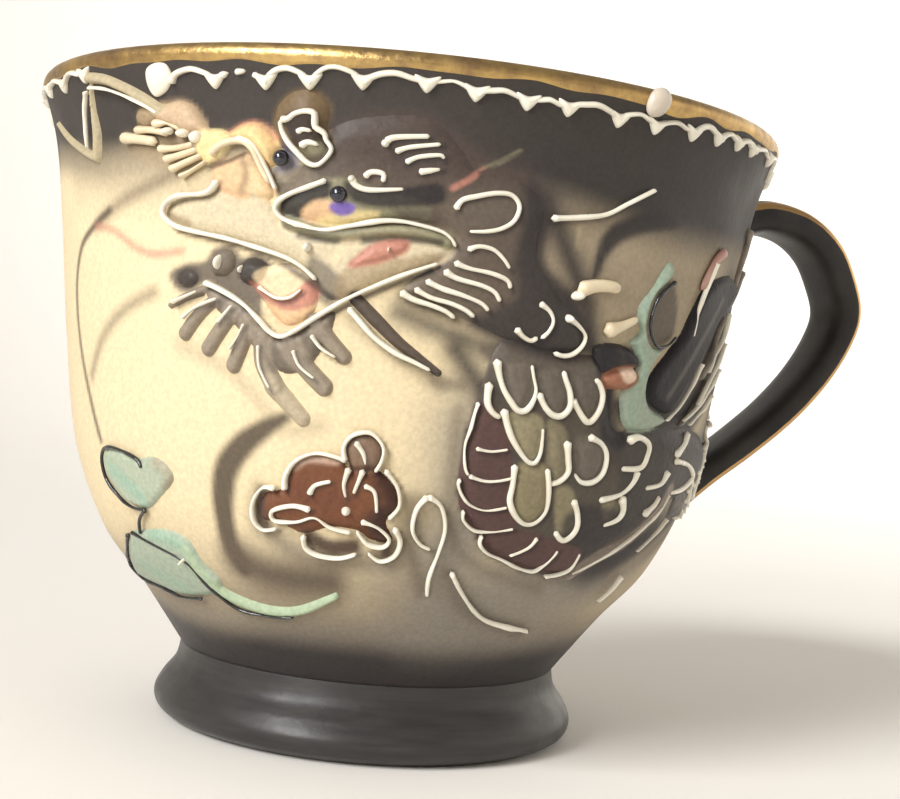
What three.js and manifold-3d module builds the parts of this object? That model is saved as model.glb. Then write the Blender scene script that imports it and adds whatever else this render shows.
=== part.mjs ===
// A footed porcelain demitasse cup with slip-trailed relief, in millimetres.
// +Z is up and the handle points along +X. The pieces are placed round the cup's own axis, and the whole
// cup is then moved so that the origin is the middle of its overall length and width, at its base.
import * as THREE from "three";
import { mergeVertices } from "three/addons/utils/BufferGeometryUtils.js";
import Module from "manifold-3d";

// Driving dimensions
const RIM_RADIUS = 33; // outside of the lip
const HEIGHT = 54.6; // resting ring to lip
const WALL = 2.2; // thickness of the bowl's wall
const LIP_RADIUS = 0.9; // half the thickness of the rounded lip
const NECK_HEIGHT = 6.4; // where the bowl is stuck up on its foot
const NECK_RADIUS = 16.9;
const FOOT_RADIUS = 18.9; // widest point of the foot
const FOOT_ROLL = 1.7; // how far the resting ring's outer edge lies inside the widest point
const FOOT_RING_WIDTH = 2.6; // resting ring, measured along the radius
const FOOT_RECESS = 4.4; // depth of the hollow under the foot
const FLOOR = 2.6; // thickness of the bowl's floor over the foot
const HANDLE_WIDTH = 7; // across the strap
const HANDLE_THICKNESS = 3.2;
const HANDLE_REACH = 46.1; // strap's centre line, from the cup's axis
const HANDLE_DROP = 5.7; // upper root's middle, below the lip
const HANDLE_LOW = 19.8; // height of the lower root's middle
const GILT_FILM = 0.15;
const GILT_DEPTH = 0.7; // how far the gold comes down below the lip's round
const LUTE_GAP = 0.3; // between a curved piece and the one that carries it
const RELIEF = 0.6; // thickness of a raised slip pad
const BORDER_DROP = 2.55; // scallop border's middle, below the lip
const BORDER_BAND = 0.9; // height of the scallop border
const EYE_RADIUS = 0.9;
const BEAD_RADIUS = 0.8;
const SEGMENTS = 48;

const wasm = await Module();
wasm.setup();

const COLOURS = {
  ground: { color: 0x8f8878, roughness: 0.55, metalness: 0 },
  foot: { color: 0x45413f, roughness: 0.5, metalness: 0 },
  gold: { color: 0xb8862f, roughness: 0.3, metalness: 1 },
  slip: { color: 0xe9e2d0, roughness: 0.4, metalness: 0 },
  grey_slip: { color: 0x4c4742, roughness: 0.55, metalness: 0 },
  green_slip: { color: 0x9dbba4, roughness: 0.35, metalness: 0 },
  brown_enamel: { color: 0x70391c, roughness: 0.25, metalness: 0 },
  black_glass: { color: 0x14162a, roughness: 0.08, metalness: 0 },
};

const cup = new THREE.Group();

function add(name, geometry, finish) {
  const mesh = new THREE.Mesh(geometry, new THREE.MeshStandardMaterial(COLOURS[finish]));
  mesh.name = name;
  cup.add(mesh);
  return mesh;
}

function solid(geometry) {
  const bare = geometry.clone();
  bare.deleteAttribute("normal");
  bare.deleteAttribute("uv");
  const merged = mergeVertices(bare, 1e-4);
  return new wasm.Manifold(
    new wasm.Mesh({
      numProp: 3,
      vertProperties: merged.attributes.position.array,
      triVerts: new Uint32Array(merged.index.array),
    }),
  );
}

function geometryOf(made) {
  const mesh = made.getMesh();
  const geometry = new THREE.BufferGeometry();
  geometry.setAttribute("position", new THREE.BufferAttribute(mesh.vertProperties, 3));
  geometry.setIndex(new THREE.BufferAttribute(mesh.triVerts, 1));
  return geometry;
}

// Turns a profile of (radius, height) points, which runs anticlockwise, round the cup's axis.
function turned(points) {
  const lathe = new THREE.LatheGeometry(points, SEGMENTS);
  lathe.rotateX(Math.PI / 2);
  return lathe;
}

const at = (radius, height) => new THREE.Vector2(radius, height);

// The bowl's outside: out from the neck, round the belly and up to the flared lip.
const belly = new THREE.SplineCurve([
  at(NECK_RADIUS, NECK_HEIGHT),
  at(0.63 * RIM_RADIUS, 0.214 * HEIGHT),
  at(0.745 * RIM_RADIUS, 0.3 * HEIGHT),
  at(0.835 * RIM_RADIUS, 0.43 * HEIGHT),
  at(0.882 * RIM_RADIUS, 0.6 * HEIGHT),
  at(0.918 * RIM_RADIUS, 0.78 * HEIGHT),
  at(0.948 * RIM_RADIUS, 0.9 * HEIGHT),
  at(RIM_RADIUS - 0.25, HEIGHT - LIP_RADIUS),
]);
const BELLY_STEPS = 16;
const outside = belly.getPoints(BELLY_STEPS);

// The outside's radius at a height.
function wallRadius(height) {
  for (let i = 1; i < outside.length; i++) {
    const low = outside[i - 1];
    const high = outside[i];
    if (height <= high.y) {
      return low.x + ((high.x - low.x) * (height - low.y)) / (high.y - low.y);
    }
  }
  return outside[outside.length - 1].x;
}

// Half circle over the lip, from the outside to the inside.
const LIP_STEPS = 6;
const lipCentre = at(outside[BELLY_STEPS].x - LIP_RADIUS, HEIGHT - LIP_RADIUS);
function lip(extra) {
  const points = [];
  for (let i = 1; i < LIP_STEPS; i++) {
    const angle = (Math.PI * i) / LIP_STEPS;
    const radius = LIP_RADIUS + extra;
    points.push(at(lipCentre.x + radius * Math.cos(angle), lipCentre.y + radius * Math.sin(angle)));
  }
  return points;
}

const floorHeight = NECK_HEIGHT + FLOOR;
const inside = [
  at(lipCentre.x - LIP_RADIUS, HEIGHT - LIP_RADIUS),
  ...[0.93, 0.86, 0.75, 0.62, 0.5, 0.4, 0.32, 0.25].map((share) =>
    at(wallRadius(share * HEIGHT) - WALL, share * HEIGHT),
  ),
  at(wallRadius(0.21 * HEIGHT) - WALL - 2, floorHeight + 0.7),
  at(NECK_RADIUS - 5, floorHeight),
  at(0, floorHeight),
];
const bowlProfile = [at(0, NECK_HEIGHT), ...outside, ...lip(0), ...inside];
add("bowl", turned(bowlProfile), "ground");

// The foot: resting ring, rolled edge, waist up to the neck, and a hollow underneath.
const footOutside = new THREE.SplineCurve([
  at(FOOT_RADIUS - FOOT_ROLL, 0),
  at(FOOT_RADIUS - 0.35, 0.75),
  at(FOOT_RADIUS, 1.9),
  at(FOOT_RADIUS - 0.6, 3.2),
  at(NECK_RADIUS + 0.35, 4.7),
  at(NECK_RADIUS, NECK_HEIGHT),
]);
const ringInside = FOOT_RADIUS - FOOT_ROLL - FOOT_RING_WIDTH;
add(
  "foot",
  turned([
    ...[at(0, FOOT_RECESS), at(ringInside - 1.2, FOOT_RECESS), at(ringInside, 0)],
    ...footOutside.getPoints(10),
    at(0, NECK_HEIGHT),
  ]),
  "foot",
);

// The gold film wraps the lip, from GILT_DEPTH below its round outside to the round's start inside.
const giltEdge = HEIGHT - LIP_RADIUS - GILT_DEPTH;
const giltLow = [at(wallRadius(giltEdge), giltEdge), outside[BELLY_STEPS]];
const giltOut = giltLow.map((point) => at(point.x + GILT_FILM, point.y));
const giltSkin = [...giltOut, ...lip(GILT_FILM), at(inside[0].x - GILT_FILM, inside[0].y)];
const lipSkin = [...giltLow, ...lip(0), inside[0]];
const giltRing = [...giltSkin, ...lipSkin.reverse()];
add("gilt_rim", turned([...giltRing, giltRing[0]]), "gold");

// The handle: an ear-shaped strap swept in the X-Z plane and trimmed to the bowl. Between its roots, each point
// of the ear is a share of the reach and a share of the way up from the lower root to the upper one.
const handleTop = HEIGHT - HANDLE_DROP;
const handleRise = handleTop - HANDLE_LOW;
const upperRoot = wallRadius(handleTop);
const lowerRoot = wallRadius(HANDLE_LOW);
const earShares = [
  [0.79, 1.045],
  [0.875, 1.022],
  [0.94, 0.952],
  [0.98, 0.85],
  [1, 0.752],
  [0.985, 0.655],
  [0.94, 0.53],
  [0.87, 0.4],
  [0.78, 0.275],
  [0.69, 0.165],
];
const ear = new THREE.CatmullRomCurve3(
  [
    [upperRoot - 3, handleTop - 0.2],
    [upperRoot + 1.6, handleTop + 0.5],
    ...earShares.map(([out, up]) => [out * HANDLE_REACH, HANDLE_LOW + up * handleRise]),
    [lowerRoot + 1.4, HANDLE_LOW + 1.2],
    [lowerRoot - 3, HANDLE_LOW - 1.8],
  ].map(([x, z]) => new THREE.Vector3(x, 0, z)),
);
const HANDLE_STEPS = 24;
// The section's x runs across the strap and its y through its thickness.
const strap = new THREE.Shape();
const halfThick = HANDLE_THICKNESS / 2;
const halfWide = HANDLE_WIDTH / 2;
const CORNER = 1;
strap.moveTo(-halfWide + CORNER, -halfThick);
strap.lineTo(halfWide - CORNER, -halfThick);
strap.absarc(halfWide - CORNER, -halfThick + CORNER, CORNER, -Math.PI / 2, 0, false);
strap.absarc(halfWide - CORNER, halfThick - CORNER, CORNER, 0, Math.PI / 2, false);
strap.absarc(-halfWide + CORNER, halfThick - CORNER, CORNER, Math.PI / 2, Math.PI, false);
strap.absarc(-halfWide + CORNER, -halfThick + CORNER, CORNER, Math.PI, 1.5 * Math.PI, false);
const sweep = new THREE.ExtrudeGeometry(strap, {
  steps: HANDLE_STEPS,
  extrudePath: ear,
  curveSegments: 2,
  bevelEnabled: false,
});
const bowlGrown = solid(
  turned([at(0, NECK_HEIGHT), ...outside.map((p) => at(p.x + LUTE_GAP, p.y)), at(0, HEIGHT - LIP_RADIUS)]),
);
const handleParts = solid(sweep).subtract(bowlGrown).decompose();
handleParts.sort((a, b) => b.volume() - a.volume());
add("handle", geometryOf(handleParts[0]), "foot");

// Slip relief: a shell that stands off the wall, cut to each pad's outline.
function shell(gap, thick) {
  const inner = outside.map((p) => at(p.x + gap, p.y));
  const outer = outside.map((p) => at(p.x + gap + thick, p.y));
  const ring = [...outer, ...inner.reverse()];
  return solid(turned([...ring, ring[0]]));
}
const reliefShell = shell(LUTE_GAP, RELIEF);

// A pad's outline is a closed smooth curve of points, each in degrees round the cup from +X and hundredths of
// the cup's height.
function pad(name, finish, outline) {
  const middle = outline.reduce((sum, [degrees]) => sum + degrees, 0) / outline.length;
  const reach = RIM_RADIUS + 4;
  const shape = new THREE.Shape();
  const flat = outline.map(([degrees, share]) => {
    const turn = THREE.MathUtils.degToRad(degrees - middle);
    const height = (share / 100) * HEIGHT;
    return at(wallRadius(height) * Math.sin(turn), height);
  });
  shape.moveTo(flat[0].x, flat[0].y);
  shape.splineThru([...flat.slice(1), flat[0]]);
  const prism = new THREE.ExtrudeGeometry(shape, { depth: reach, bevelEnabled: false, curveSegments: 2 });
  // The outline's plane faces +Z: stand it up, then turn it to the pad's place.
  prism.rotateX(Math.PI / 2);
  prism.rotateZ(Math.PI / 2 + THREE.MathUtils.degToRad(middle));
  const cut = reliefShell.intersect(solid(prism)).decompose();
  cut.sort((a, b) => b.volume() - a.volume());
  add(name, geometryOf(cut[0]), finish);
}

pad("dragon_head_relief", "grey_slip", [
  [-128, 84], [-118, 90], [-106, 86], [-97, 77], [-88, 70], [-90, 62], [-100, 60], [-112, 49], [-124, 57], [-127, 70],
]);
pad("dragon_neck_relief", "grey_slip", [
  [-86, 66], [-76, 66], [-68, 55], [-55, 48], [-52, 37], [-64, 31], [-80, 27], [-92, 29], [-94, 44], [-88, 57],
]);
pad("dragon_body_relief", "grey_slip", [
  [34, 60], [62, 71], [90, 60], [118, 46], [140, 49], [140, 37], [118, 31], [90, 44], [62, 55], [36, 46],
]);
pad("dragon_tail_relief", "grey_slip", [
  [146, 55], [160, 64], [172, 77], [178, 75], [166, 57], [152, 46],
]);
pad("flaming_pearl_relief", "brown_enamel", [
  [-122, 40], [-115, 45], [-107, 44], [-104, 34], [-110, 27], [-119, 29],
]);
pad("cloud_relief_front_left", "green_slip", [
  [-158, 40], [-150, 40], [-146, 31], [-139, 26], [-143, 22], [-151, 26], [-157, 33],
]);
pad("cloud_relief_front_right", "green_slip", [
  [-63, 71], [-58, 73], [-56, 62], [-61, 57], [-65, 62],
]);

const borderLow = HEIGHT - BORDER_DROP - BORDER_BAND / 2;
const borderHigh = HEIGHT - BORDER_DROP + BORDER_BAND / 2;
const border = [
  at(wallRadius(borderLow) + LUTE_GAP, borderLow),
  at(wallRadius(borderLow) + LUTE_GAP + RELIEF, borderLow),
  at(wallRadius(borderHigh) + LUTE_GAP + RELIEF, borderHigh),
  at(wallRadius(borderHigh) + LUTE_GAP, borderHigh),
];
add("scallop_border", turned([...border, border[0]]), "slip");

// A round bead on the wall or on a pad, at a place round the cup and a height.
function bead(name, finish, degrees, height, radius, standOff) {
  const ball = new THREE.SphereGeometry(radius, 12, 8);
  const out = wallRadius(height) + standOff + radius;
  const turn = THREE.MathUtils.degToRad(degrees);
  const mesh = add(name, ball, finish);
  mesh.position.set(out * Math.cos(turn), out * Math.sin(turn), height);
}
const onPad = LUTE_GAP + RELIEF + LUTE_GAP;
bead("near_eye", "black_glass", -112, 0.72 * HEIGHT, EYE_RADIUS, onPad);
bead("far_eye", "black_glass", -118, 0.78 * HEIGHT, EYE_RADIUS, onPad);
bead("border_bead", "slip", -74, HEIGHT - BORDER_DROP, BEAD_RADIUS, onPad);

// Lip and handle reach different distances from the axis, and the origin is halfway between them.
const reachBack = RIM_RADIUS + LUTE_GAP;
const reachHandle = HANDLE_REACH + HANDLE_THICKNESS / 2;
cup.position.x = (reachBack - reachHandle) / 2;
const part = new THREE.Group();
part.add(cup);
export default part;
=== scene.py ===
"""Looks of a footed porcelain demitasse cup with a dragon in raised, trailed slip.

Shapes are worked out in millimetres round the cup's own axis. A decoration stroke is a list of pixels, read
off the photograph's 900 x 799 frame, that the camera throws back on to the wall. The side that the
photograph doesn't show has strokes given as (degrees round the cup, height). write() moves a finished piece
to the frame.
"""
import math

import bpy
import numpy as np
from mathutils import Matrix, Vector


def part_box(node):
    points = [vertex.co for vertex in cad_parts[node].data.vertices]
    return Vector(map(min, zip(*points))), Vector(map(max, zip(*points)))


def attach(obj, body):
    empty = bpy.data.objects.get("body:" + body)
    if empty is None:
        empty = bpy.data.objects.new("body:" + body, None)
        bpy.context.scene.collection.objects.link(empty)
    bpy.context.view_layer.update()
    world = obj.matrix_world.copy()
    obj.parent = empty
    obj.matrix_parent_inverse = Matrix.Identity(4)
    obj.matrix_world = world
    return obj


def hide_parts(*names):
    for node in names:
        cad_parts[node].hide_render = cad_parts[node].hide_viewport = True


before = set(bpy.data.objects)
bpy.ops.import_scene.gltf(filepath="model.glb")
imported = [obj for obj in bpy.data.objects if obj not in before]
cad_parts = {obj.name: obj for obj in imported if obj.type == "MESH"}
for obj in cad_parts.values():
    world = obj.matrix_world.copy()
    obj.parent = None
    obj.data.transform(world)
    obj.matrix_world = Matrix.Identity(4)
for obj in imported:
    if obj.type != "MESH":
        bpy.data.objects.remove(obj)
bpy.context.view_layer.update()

MM = 0.001
BODY = "root"
foot_low, foot_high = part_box("foot")
AXIS_X = (foot_low.x + foot_high.x) / 2 / MM

# Sizes shared with the CAD model, in mm
HEIGHT = 54.6
RIM_RADIUS = 33.0
NECK_HEIGHT = 6.4
NECK_RADIUS = 16.9
WALL = 2.2
LIP_RADIUS = 0.9
FLOOR = 2.6
FOOT_RADIUS = 18.9
FOOT_RECESS = 4.4
FOOT_RING_WIDTH = 2.6
HANDLE_REACH = 46.1
HANDLE_TOP = HEIGHT - 5.7
HANDLE_LOW = 19.8
HANDLE_WIDTH = 7.0
HANDLE_THICKNESS = 3.2

# The strap's section lies between an ellipse (2) and a rectangle; its ends go this far into the wall, in mm
STRAP_EXPONENT = 3.2
ROOT_DEPTH = 1.0

# Camera, from a fit to the cup's outline in the photograph
PICTURE_WIDTH, PICTURE_HEIGHT = 900, 799
CAMERA_DISTANCE = 142.9
CAMERA_HEIGHT = 32.1
CAMERA_TURN = -107.0
CAMERA_PITCH = 0.93
CAMERA_YAW = -2.21
CAMERA_ROLL = 5.14
FOCAL_PIXELS = 1560.0
SENSOR = 36.0
# Distances from the camera, in mm, between which a ray is searched for the wall, and the steps of the search
RAY_NEAR, RAY_FAR, RAY_STEPS = 95, 175, 1600


# Curves and the wall

def smooth_line(points, per_span=8, closed=False):
    """A uniform Catmull-Rom curve through the points, per_span samples to each span."""
    p = np.asarray(points, float)
    if closed:
        p = np.vstack([p[-1], p, p[0], p[1]])
    else:
        p = np.vstack([p[0], p, p[-1]])
    t = np.linspace(0, 1, per_span, endpoint=False)[:, None]
    spans = []
    for a, b, c, d in zip(p[:-3], p[1:-2], p[2:-1], p[3:]):
        v0, v1 = (c - a) / 2, (d - b) / 2
        spans.append((2 * b - 2 * c + v0 + v1) * t ** 3 + (3 * c - 3 * b - 2 * v0 - v1) * t ** 2 + v0 * t + b)
    if not closed:
        spans.append(p[-2][None])
    return np.vstack(spans)


def unit(vectors):
    """Each vector divided by its length."""
    return vectors / np.linalg.norm(vectors, axis=-1, keepdims=True)


def evenly(line, step):
    """The line again, with samples about one step apart."""
    along = np.concatenate([[0], np.cumsum(np.linalg.norm(np.diff(line, axis=0), axis=1))])
    count = max(3, int(along[-1] / step) + 2)
    at = np.linspace(0, along[-1], count)
    return np.stack([np.interp(at, along, line[:, k]) for k in range(line.shape[1])], axis=1)


BELLY = smooth_line([
    (NECK_RADIUS, NECK_HEIGHT),
    (0.63 * RIM_RADIUS, 0.214 * HEIGHT),
    (0.745 * RIM_RADIUS, 0.3 * HEIGHT),
    (0.835 * RIM_RADIUS, 0.43 * HEIGHT),
    (0.882 * RIM_RADIUS, 0.6 * HEIGHT),
    (0.918 * RIM_RADIUS, 0.78 * HEIGHT),
    (0.948 * RIM_RADIUS, 0.9 * HEIGHT),
    (RIM_RADIUS - 0.25, HEIGHT - LIP_RADIUS),
], 24)


def wall_radius(z):
    """Outside radius of the bowl at height z."""
    return np.interp(z, BELLY[:, 1], BELLY[:, 0])


def wall_slope(z):
    """Change of the outside radius for each mm of height."""
    return (wall_radius(z + 0.2) - wall_radius(z - 0.2)) / 0.4


def on_wall(angle, z, out=0.0):
    """The point of the bowl's outside at an angle in radians and a height, moved out along the normal."""
    angle, z = np.broadcast_arrays(np.asarray(angle, float), np.asarray(z, float))
    r, slope = wall_radius(z), wall_slope(z)
    length = np.sqrt(1 + slope ** 2)
    radial = r + out / length
    return np.stack([radial * np.cos(angle), radial * np.sin(angle), z - out * slope / length], axis=-1)


def wall_normal(points):
    """Outward normals of the wall at points on it."""
    angle = np.arctan2(points[:, 1], points[:, 0])
    return unit(np.stack([np.cos(angle), np.sin(angle), -wall_slope(points[:, 2])], axis=1))


def settle(points, out):
    """Each point moved straight on to the wall, then out along the wall's normal."""
    angle = np.arctan2(points[:, 1], points[:, 0])
    return on_wall(angle, points[:, 2], out)


# The camera

def camera_axes():
    """Position, forward, right and up of the camera round the cup's axis, after pitch, yaw and roll."""
    turn, pitch, yaw, roll = (math.radians(v) for v in (CAMERA_TURN, CAMERA_PITCH, CAMERA_YAW, CAMERA_ROLL))
    place = np.array([CAMERA_DISTANCE * math.cos(turn), CAMERA_DISTANCE * math.sin(turn), CAMERA_HEIGHT])
    heading = turn + math.pi + yaw
    level = math.cos(pitch)
    forward = np.array([level * math.cos(heading), level * math.sin(heading), -math.sin(pitch)])
    right = unit(np.cross(forward, [0, 0, 1.0]))
    up = np.cross(right, forward)
    turned_right = math.cos(roll) * right + math.sin(roll) * up
    turned_up = -math.sin(roll) * right + math.cos(roll) * up
    return place, forward, turned_right, turned_up


EYE, FORWARD, RIGHT, UP = camera_axes()


def thrown(pixels):
    """Pixels of the photograph as points on the wall, where each pixel's ray first meets it."""
    p = np.asarray(pixels, float)
    ray = (FORWARD + np.outer(p[:, 0] - PICTURE_WIDTH / 2, RIGHT) / FOCAL_PIXELS
           - np.outer(p[:, 1] - PICTURE_HEIGHT / 2, UP) / FOCAL_PIXELS)
    t = np.linspace(RAY_NEAR, RAY_FAR, RAY_STEPS)
    at = EYE + ray[:, None] * t[None, :, None]
    inside = np.hypot(at[..., 0], at[..., 1]) <= wall_radius(at[..., 2])
    first = np.where(inside.any(1), inside.argmax(1), np.abs(
        np.hypot(at[..., 0], at[..., 1]) - wall_radius(at[..., 2])).argmin(1))
    return settle(at[np.arange(len(p)), first], 0)


def wrapped(places):
    """(degrees round the cup, height) places as points on the wall."""
    p = np.asarray(places, float)
    return on_wall(np.radians(p[:, 0]), p[:, 1])


def make_camera():
    """The camera that took the photograph."""
    data = bpy.data.cameras.new("camera")
    data.sensor_width = SENSOR
    data.lens = FOCAL_PIXELS / PICTURE_WIDTH * SENSOR
    data.clip_start, data.clip_end = 0.005, 20
    camera = bpy.data.objects.new("camera", data)
    bpy.context.scene.collection.objects.link(camera)
    place = (EYE + [AXIS_X, 0, 0]) * MM
    turn = Matrix([RIGHT, UP, -FORWARD]).transposed().to_4x4()
    camera.matrix_world = Matrix.Translation(Vector(place)) @ turn
    bpy.context.scene.camera = camera


# Meshes

def ring_quads(rows, around):
    """Quads between neighbouring rings of points, each ring with the same number of points round it."""
    i, j = np.meshgrid(np.arange(rows - 1), np.arange(around), indexing="ij")
    a, b = i * around + j, i * around + (j + 1) % around
    return np.stack([a, b, b + around, a + around], axis=-1).reshape(-1, 4)


class Heap:
    """Closed tubes collected into one mesh."""

    def __init__(self):
        self.points, self.faces, self.count = [], [], 0

    def add(self, points, faces):
        self.points.append(points)
        self.faces.append(np.asarray(faces) + self.count)
        self.count += len(points)

    def tube(self, rings):
        """Rings of points, rings[i, j] the j-th point of ring i, skinned and closed by a cap at each end."""
        n, m = rings.shape[:2]
        points = np.vstack([rings.reshape(-1, 3), rings[0].mean(0), rings[-1].mean(0)])
        j = np.arange(m)
        low = np.stack([np.full(m, n * m), (j + 1) % m, j, j], axis=1)
        top = (n - 1) * m
        high = np.stack([np.full(m, n * m + 1), top + j, top + (j + 1) % m, top + (j + 1) % m], axis=1)
        self.add(points, np.vstack([ring_quads(n, m), low, high]))


def write(name, points, quads, material, replaces=(), attribute=None):
    """Puts points in mm and quads into a smooth mesh at its place in the frame, riding on the cup."""
    mesh = bpy.data.meshes.new(name)
    placed = (np.asarray(points) + [AXIS_X, 0, 0]) * MM
    faces = [f[:3] if f[2] == f[3] else f for f in np.asarray(quads).tolist()]
    mesh.from_pydata(placed.tolist(), [], faces)
    mesh.validate()
    mesh.shade_smooth()
    if attribute is not None:
        for key, values in attribute.items():
            kind = "FLOAT_COLOR" if values.ndim == 2 else "FLOAT"
            layer = mesh.attributes.new(key, kind, "POINT")
            if kind == "FLOAT_COLOR":
                rgba = np.concatenate([values, np.ones((len(values), 1))], axis=1)
                layer.data.foreach_set("color", rgba.astype(np.float32).ravel())
            else:
                layer.data.foreach_set("value", values.astype(np.float32))
    piece = bpy.data.objects.new(name, mesh)
    bpy.context.scene.collection.objects.link(piece)
    mesh.materials.append(material)
    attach(piece, BODY)
    if replaces:
        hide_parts(*replaces)
    return piece


def write_heap(name, heap, material, replaces=()):
    return write(name, np.vstack(heap.points), np.vstack(heap.faces), material, replaces)


def turned(profile, around):
    """A profile of (radius, height) turned round the axis: (points, quads). An axis point is a tiny ring."""
    profile = np.asarray(profile, float)
    angle = np.linspace(0, 2 * math.pi, around, endpoint=False)
    r, z = profile[:, 0][:, None], profile[:, 1][:, None]
    z = np.broadcast_to(z, (len(profile), around))
    points = np.stack([r * np.cos(angle), r * np.sin(angle), z], axis=-1)
    return points.reshape(-1, 3), ring_quads(len(profile), around)


# Trails of slip: points round a section, the longest step along the line in mm, and as shares of the width
# the unevenness, the knob at the start and the thinning to the end
SIDES = 10
LONGEST_STEP = 0.28
UNEVENNESS = 0.13
KNOB = 0.3
THINNING = 0.26


def trail(heap, line, width, height, base=0.0, taper=1.0, seed=0):
    """A trail of slip: half an ellipse, width by height, carried along the line and rounded off at both ends.

    The pressure on the slip bag leaves a knob at the start, a thinner end, and small swells between them."""
    line = evenly(line, min(LONGEST_STEP, width / 2.5))
    n = len(line)
    along = np.concatenate([[0], np.cumsum(np.linalg.norm(np.diff(line, axis=0), axis=1))])
    tangent = np.gradient(line, axis=0)
    tangent /= np.maximum(np.linalg.norm(tangent, axis=1), 1e-9)[:, None]
    side = unit(np.cross(wall_normal(line), tangent))
    end = np.minimum(along, along[-1] - along) / (taper * width / 2)
    rounding = np.sqrt(np.clip(1 - (1 - np.clip(end, 0, 1)) ** 2, 0.004, 1))
    random = np.random.default_rng(seed + n)
    knots = max(3, n // 7)
    wander = np.interp(np.linspace(0, 1, n), np.linspace(0, 1, knots), random.standard_normal(knots))
    swell = 1 + UNEVENNESS * wander
    swell += KNOB * np.exp(-(along / (1.1 * width)) ** 2) - THINNING * along / along[-1]
    turn = np.linspace(0, 2 * math.pi, SIDES, endpoint=False)
    across = np.cos(turn)[None] * (rounding * swell * width / 2)[:, None]
    lift = np.where(np.sin(turn) > 0, np.sin(turn), 0)[None] * (rounding * swell * height)[:, None]
    sunk = np.where(np.sin(turn) < 0, np.sin(turn) * 0.15, 0)[None]
    points = line[:, None] + side[:, None] * across[..., None]
    out = base + lift + sunk
    rings = settle(points.reshape(-1, 3), out.reshape(-1)).reshape(n, SIDES, 3)
    heap.tube(rings[:, ::-1])


MOUND_SHARES = np.array([1.0, 0.995, 0.97, 0.92, 0.85, 0.72, 0.5, 0.25, 0.02])
MOUND_EDGE = 2.4


def mound(heap, outline, height):
    """A low mound of slip inside a closed outline of wall points: flat on top, falling round at the edge.

    Each ring is the outline drawn in to a share of its size, at height * (1 - share ** MOUND_EDGE) ** 0.5."""
    outline = smooth_line(outline, 6, closed=True)
    if np.cross(outline[1:] - outline.mean(0), outline[:-1] - outline.mean(0)).sum(0) @ outline.mean(0) > 0:
        outline = outline[::-1]
    middle = outline.mean(0)
    out = height * np.sqrt(1 - MOUND_SHARES ** MOUND_EDGE)
    # The first ring is sunk into the wall
    out[0] = -0.15
    rings = middle + (outline[None] - middle) * MOUND_SHARES[:, None, None]
    placed = settle(rings.reshape(-1, 3), np.repeat(out, len(outline)))
    heap.tube(placed.reshape(rings.shape))


def blob(heap, centre, radius, height, base=0.0, stretch=1.0, lean=0.0):
    """A round drop of slip or enamel on the wall, stretched along a direction lean degrees from level."""
    n = wall_normal(centre[None])[0]
    level = unit(np.cross([0, 0, 1.0], n))
    upright = np.cross(n, level)
    turn = np.linspace(0, 2 * math.pi, 20, endpoint=False)
    c, s = math.cos(math.radians(lean)), math.sin(math.radians(lean))
    long, short = c * level + s * upright, -s * level + c * upright
    polar = np.radians([0.5, 12, 26, 40, 55, 70, 85, 95])[::-1]
    rings = []
    for p in polar:
        ring = (np.outer(np.cos(turn), long) * stretch + np.outer(np.sin(turn), short)) * radius * math.sin(p)
        rings.append(settle(centre + ring, base + height * math.cos(p)))
    heap.tube(np.array(rings))


# Materials

class Sock:
    """A socket of a material's node tree that Python's operators work on; each operator adds a Math node."""

    def __init__(self, tree, socket):
        self.tree, self.socket = tree, socket

    def _math(self, operation, other, swap=False):
        node = self.tree.nodes.new("ShaderNodeMath")
        node.operation = operation
        first, second = (other, self) if swap else (self, other)
        for place, value in zip(node.inputs, (first, second)):
            if isinstance(value, Sock):
                self.tree.links.new(value.socket, place)
            else:
                place.default_value = value
        return Sock(self.tree, node.outputs[0])

    def __add__(self, other):
        return self._math("ADD", other)

    def __radd__(self, other):
        return self._math("ADD", other, True)

    def __sub__(self, other):
        return self._math("SUBTRACT", other)

    def __rsub__(self, other):
        return self._math("SUBTRACT", other, True)

    def __mul__(self, other):
        return self._math("MULTIPLY", other)

    def __rmul__(self, other):
        return self._math("MULTIPLY", other, True)


class Finish:
    """A material with one Principled shader, and the nodes that its patterns need."""

    def __init__(self, name, **sockets):
        self.material = bpy.data.materials.new(name)
        self.material.use_nodes = True
        self.tree = self.material.node_tree
        self.shader = self.tree.nodes["Principled BSDF"]
        self.set(**sockets)

    def set(self, **sockets):
        for key, value in sockets.items():
            self.feed(self.shader.inputs[key.replace("_", " ")], value)

    def feed(self, place, value):
        """Links a Sock to an input, or sets the input to a plain value."""
        if isinstance(value, Sock):
            self.tree.links.new(value.socket, place)
        elif isinstance(value, tuple) and len(value) == 3 and place.type == "RGBA":
            place.default_value = (*value, 1)
        else:
            place.default_value = value

    def node(self, kind, settings=None, out=0, **sockets):
        """A new node; a socket is given by its name, or by a letter and its number, such as i6."""
        made = self.tree.nodes.new("ShaderNode" + kind)
        for key, value in (settings or {}).items():
            setattr(made, key, value)
        for key, value in sockets.items():
            place = made.inputs[int(key[1:])] if key[1:].isdigit() else made.inputs[key.replace("_", " ")]
            self.feed(place, value)
        return Sock(self.tree, made.outputs[out])

    def place(self):
        """Object coordinates, in metres."""
        return self.node("TexCoord", out=3)

    def noise(self, scale, detail=3.0, rough=0.55):
        return self.node("TexNoise", Vector=self.place(), Scale=scale, Detail=detail, Roughness=rough)

    def band(self, value, low, high, start=0.0, end=1.0):
        """The value carried from the range low to high over to the range start to end, and held there."""
        return self.node("MapRange", None, 0, i0=value, i1=low, i2=high, i3=start, i4=end)

    def mix(self, share, first, second):
        return self.node("Mix", {"data_type": "RGBA"}, 2, i0=share, i6=first, i7=second)

    def bump(self, height, strength, distance):
        self.set(Normal=self.node("Bump", Height=height, Strength=strength, Distance=distance))


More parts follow.
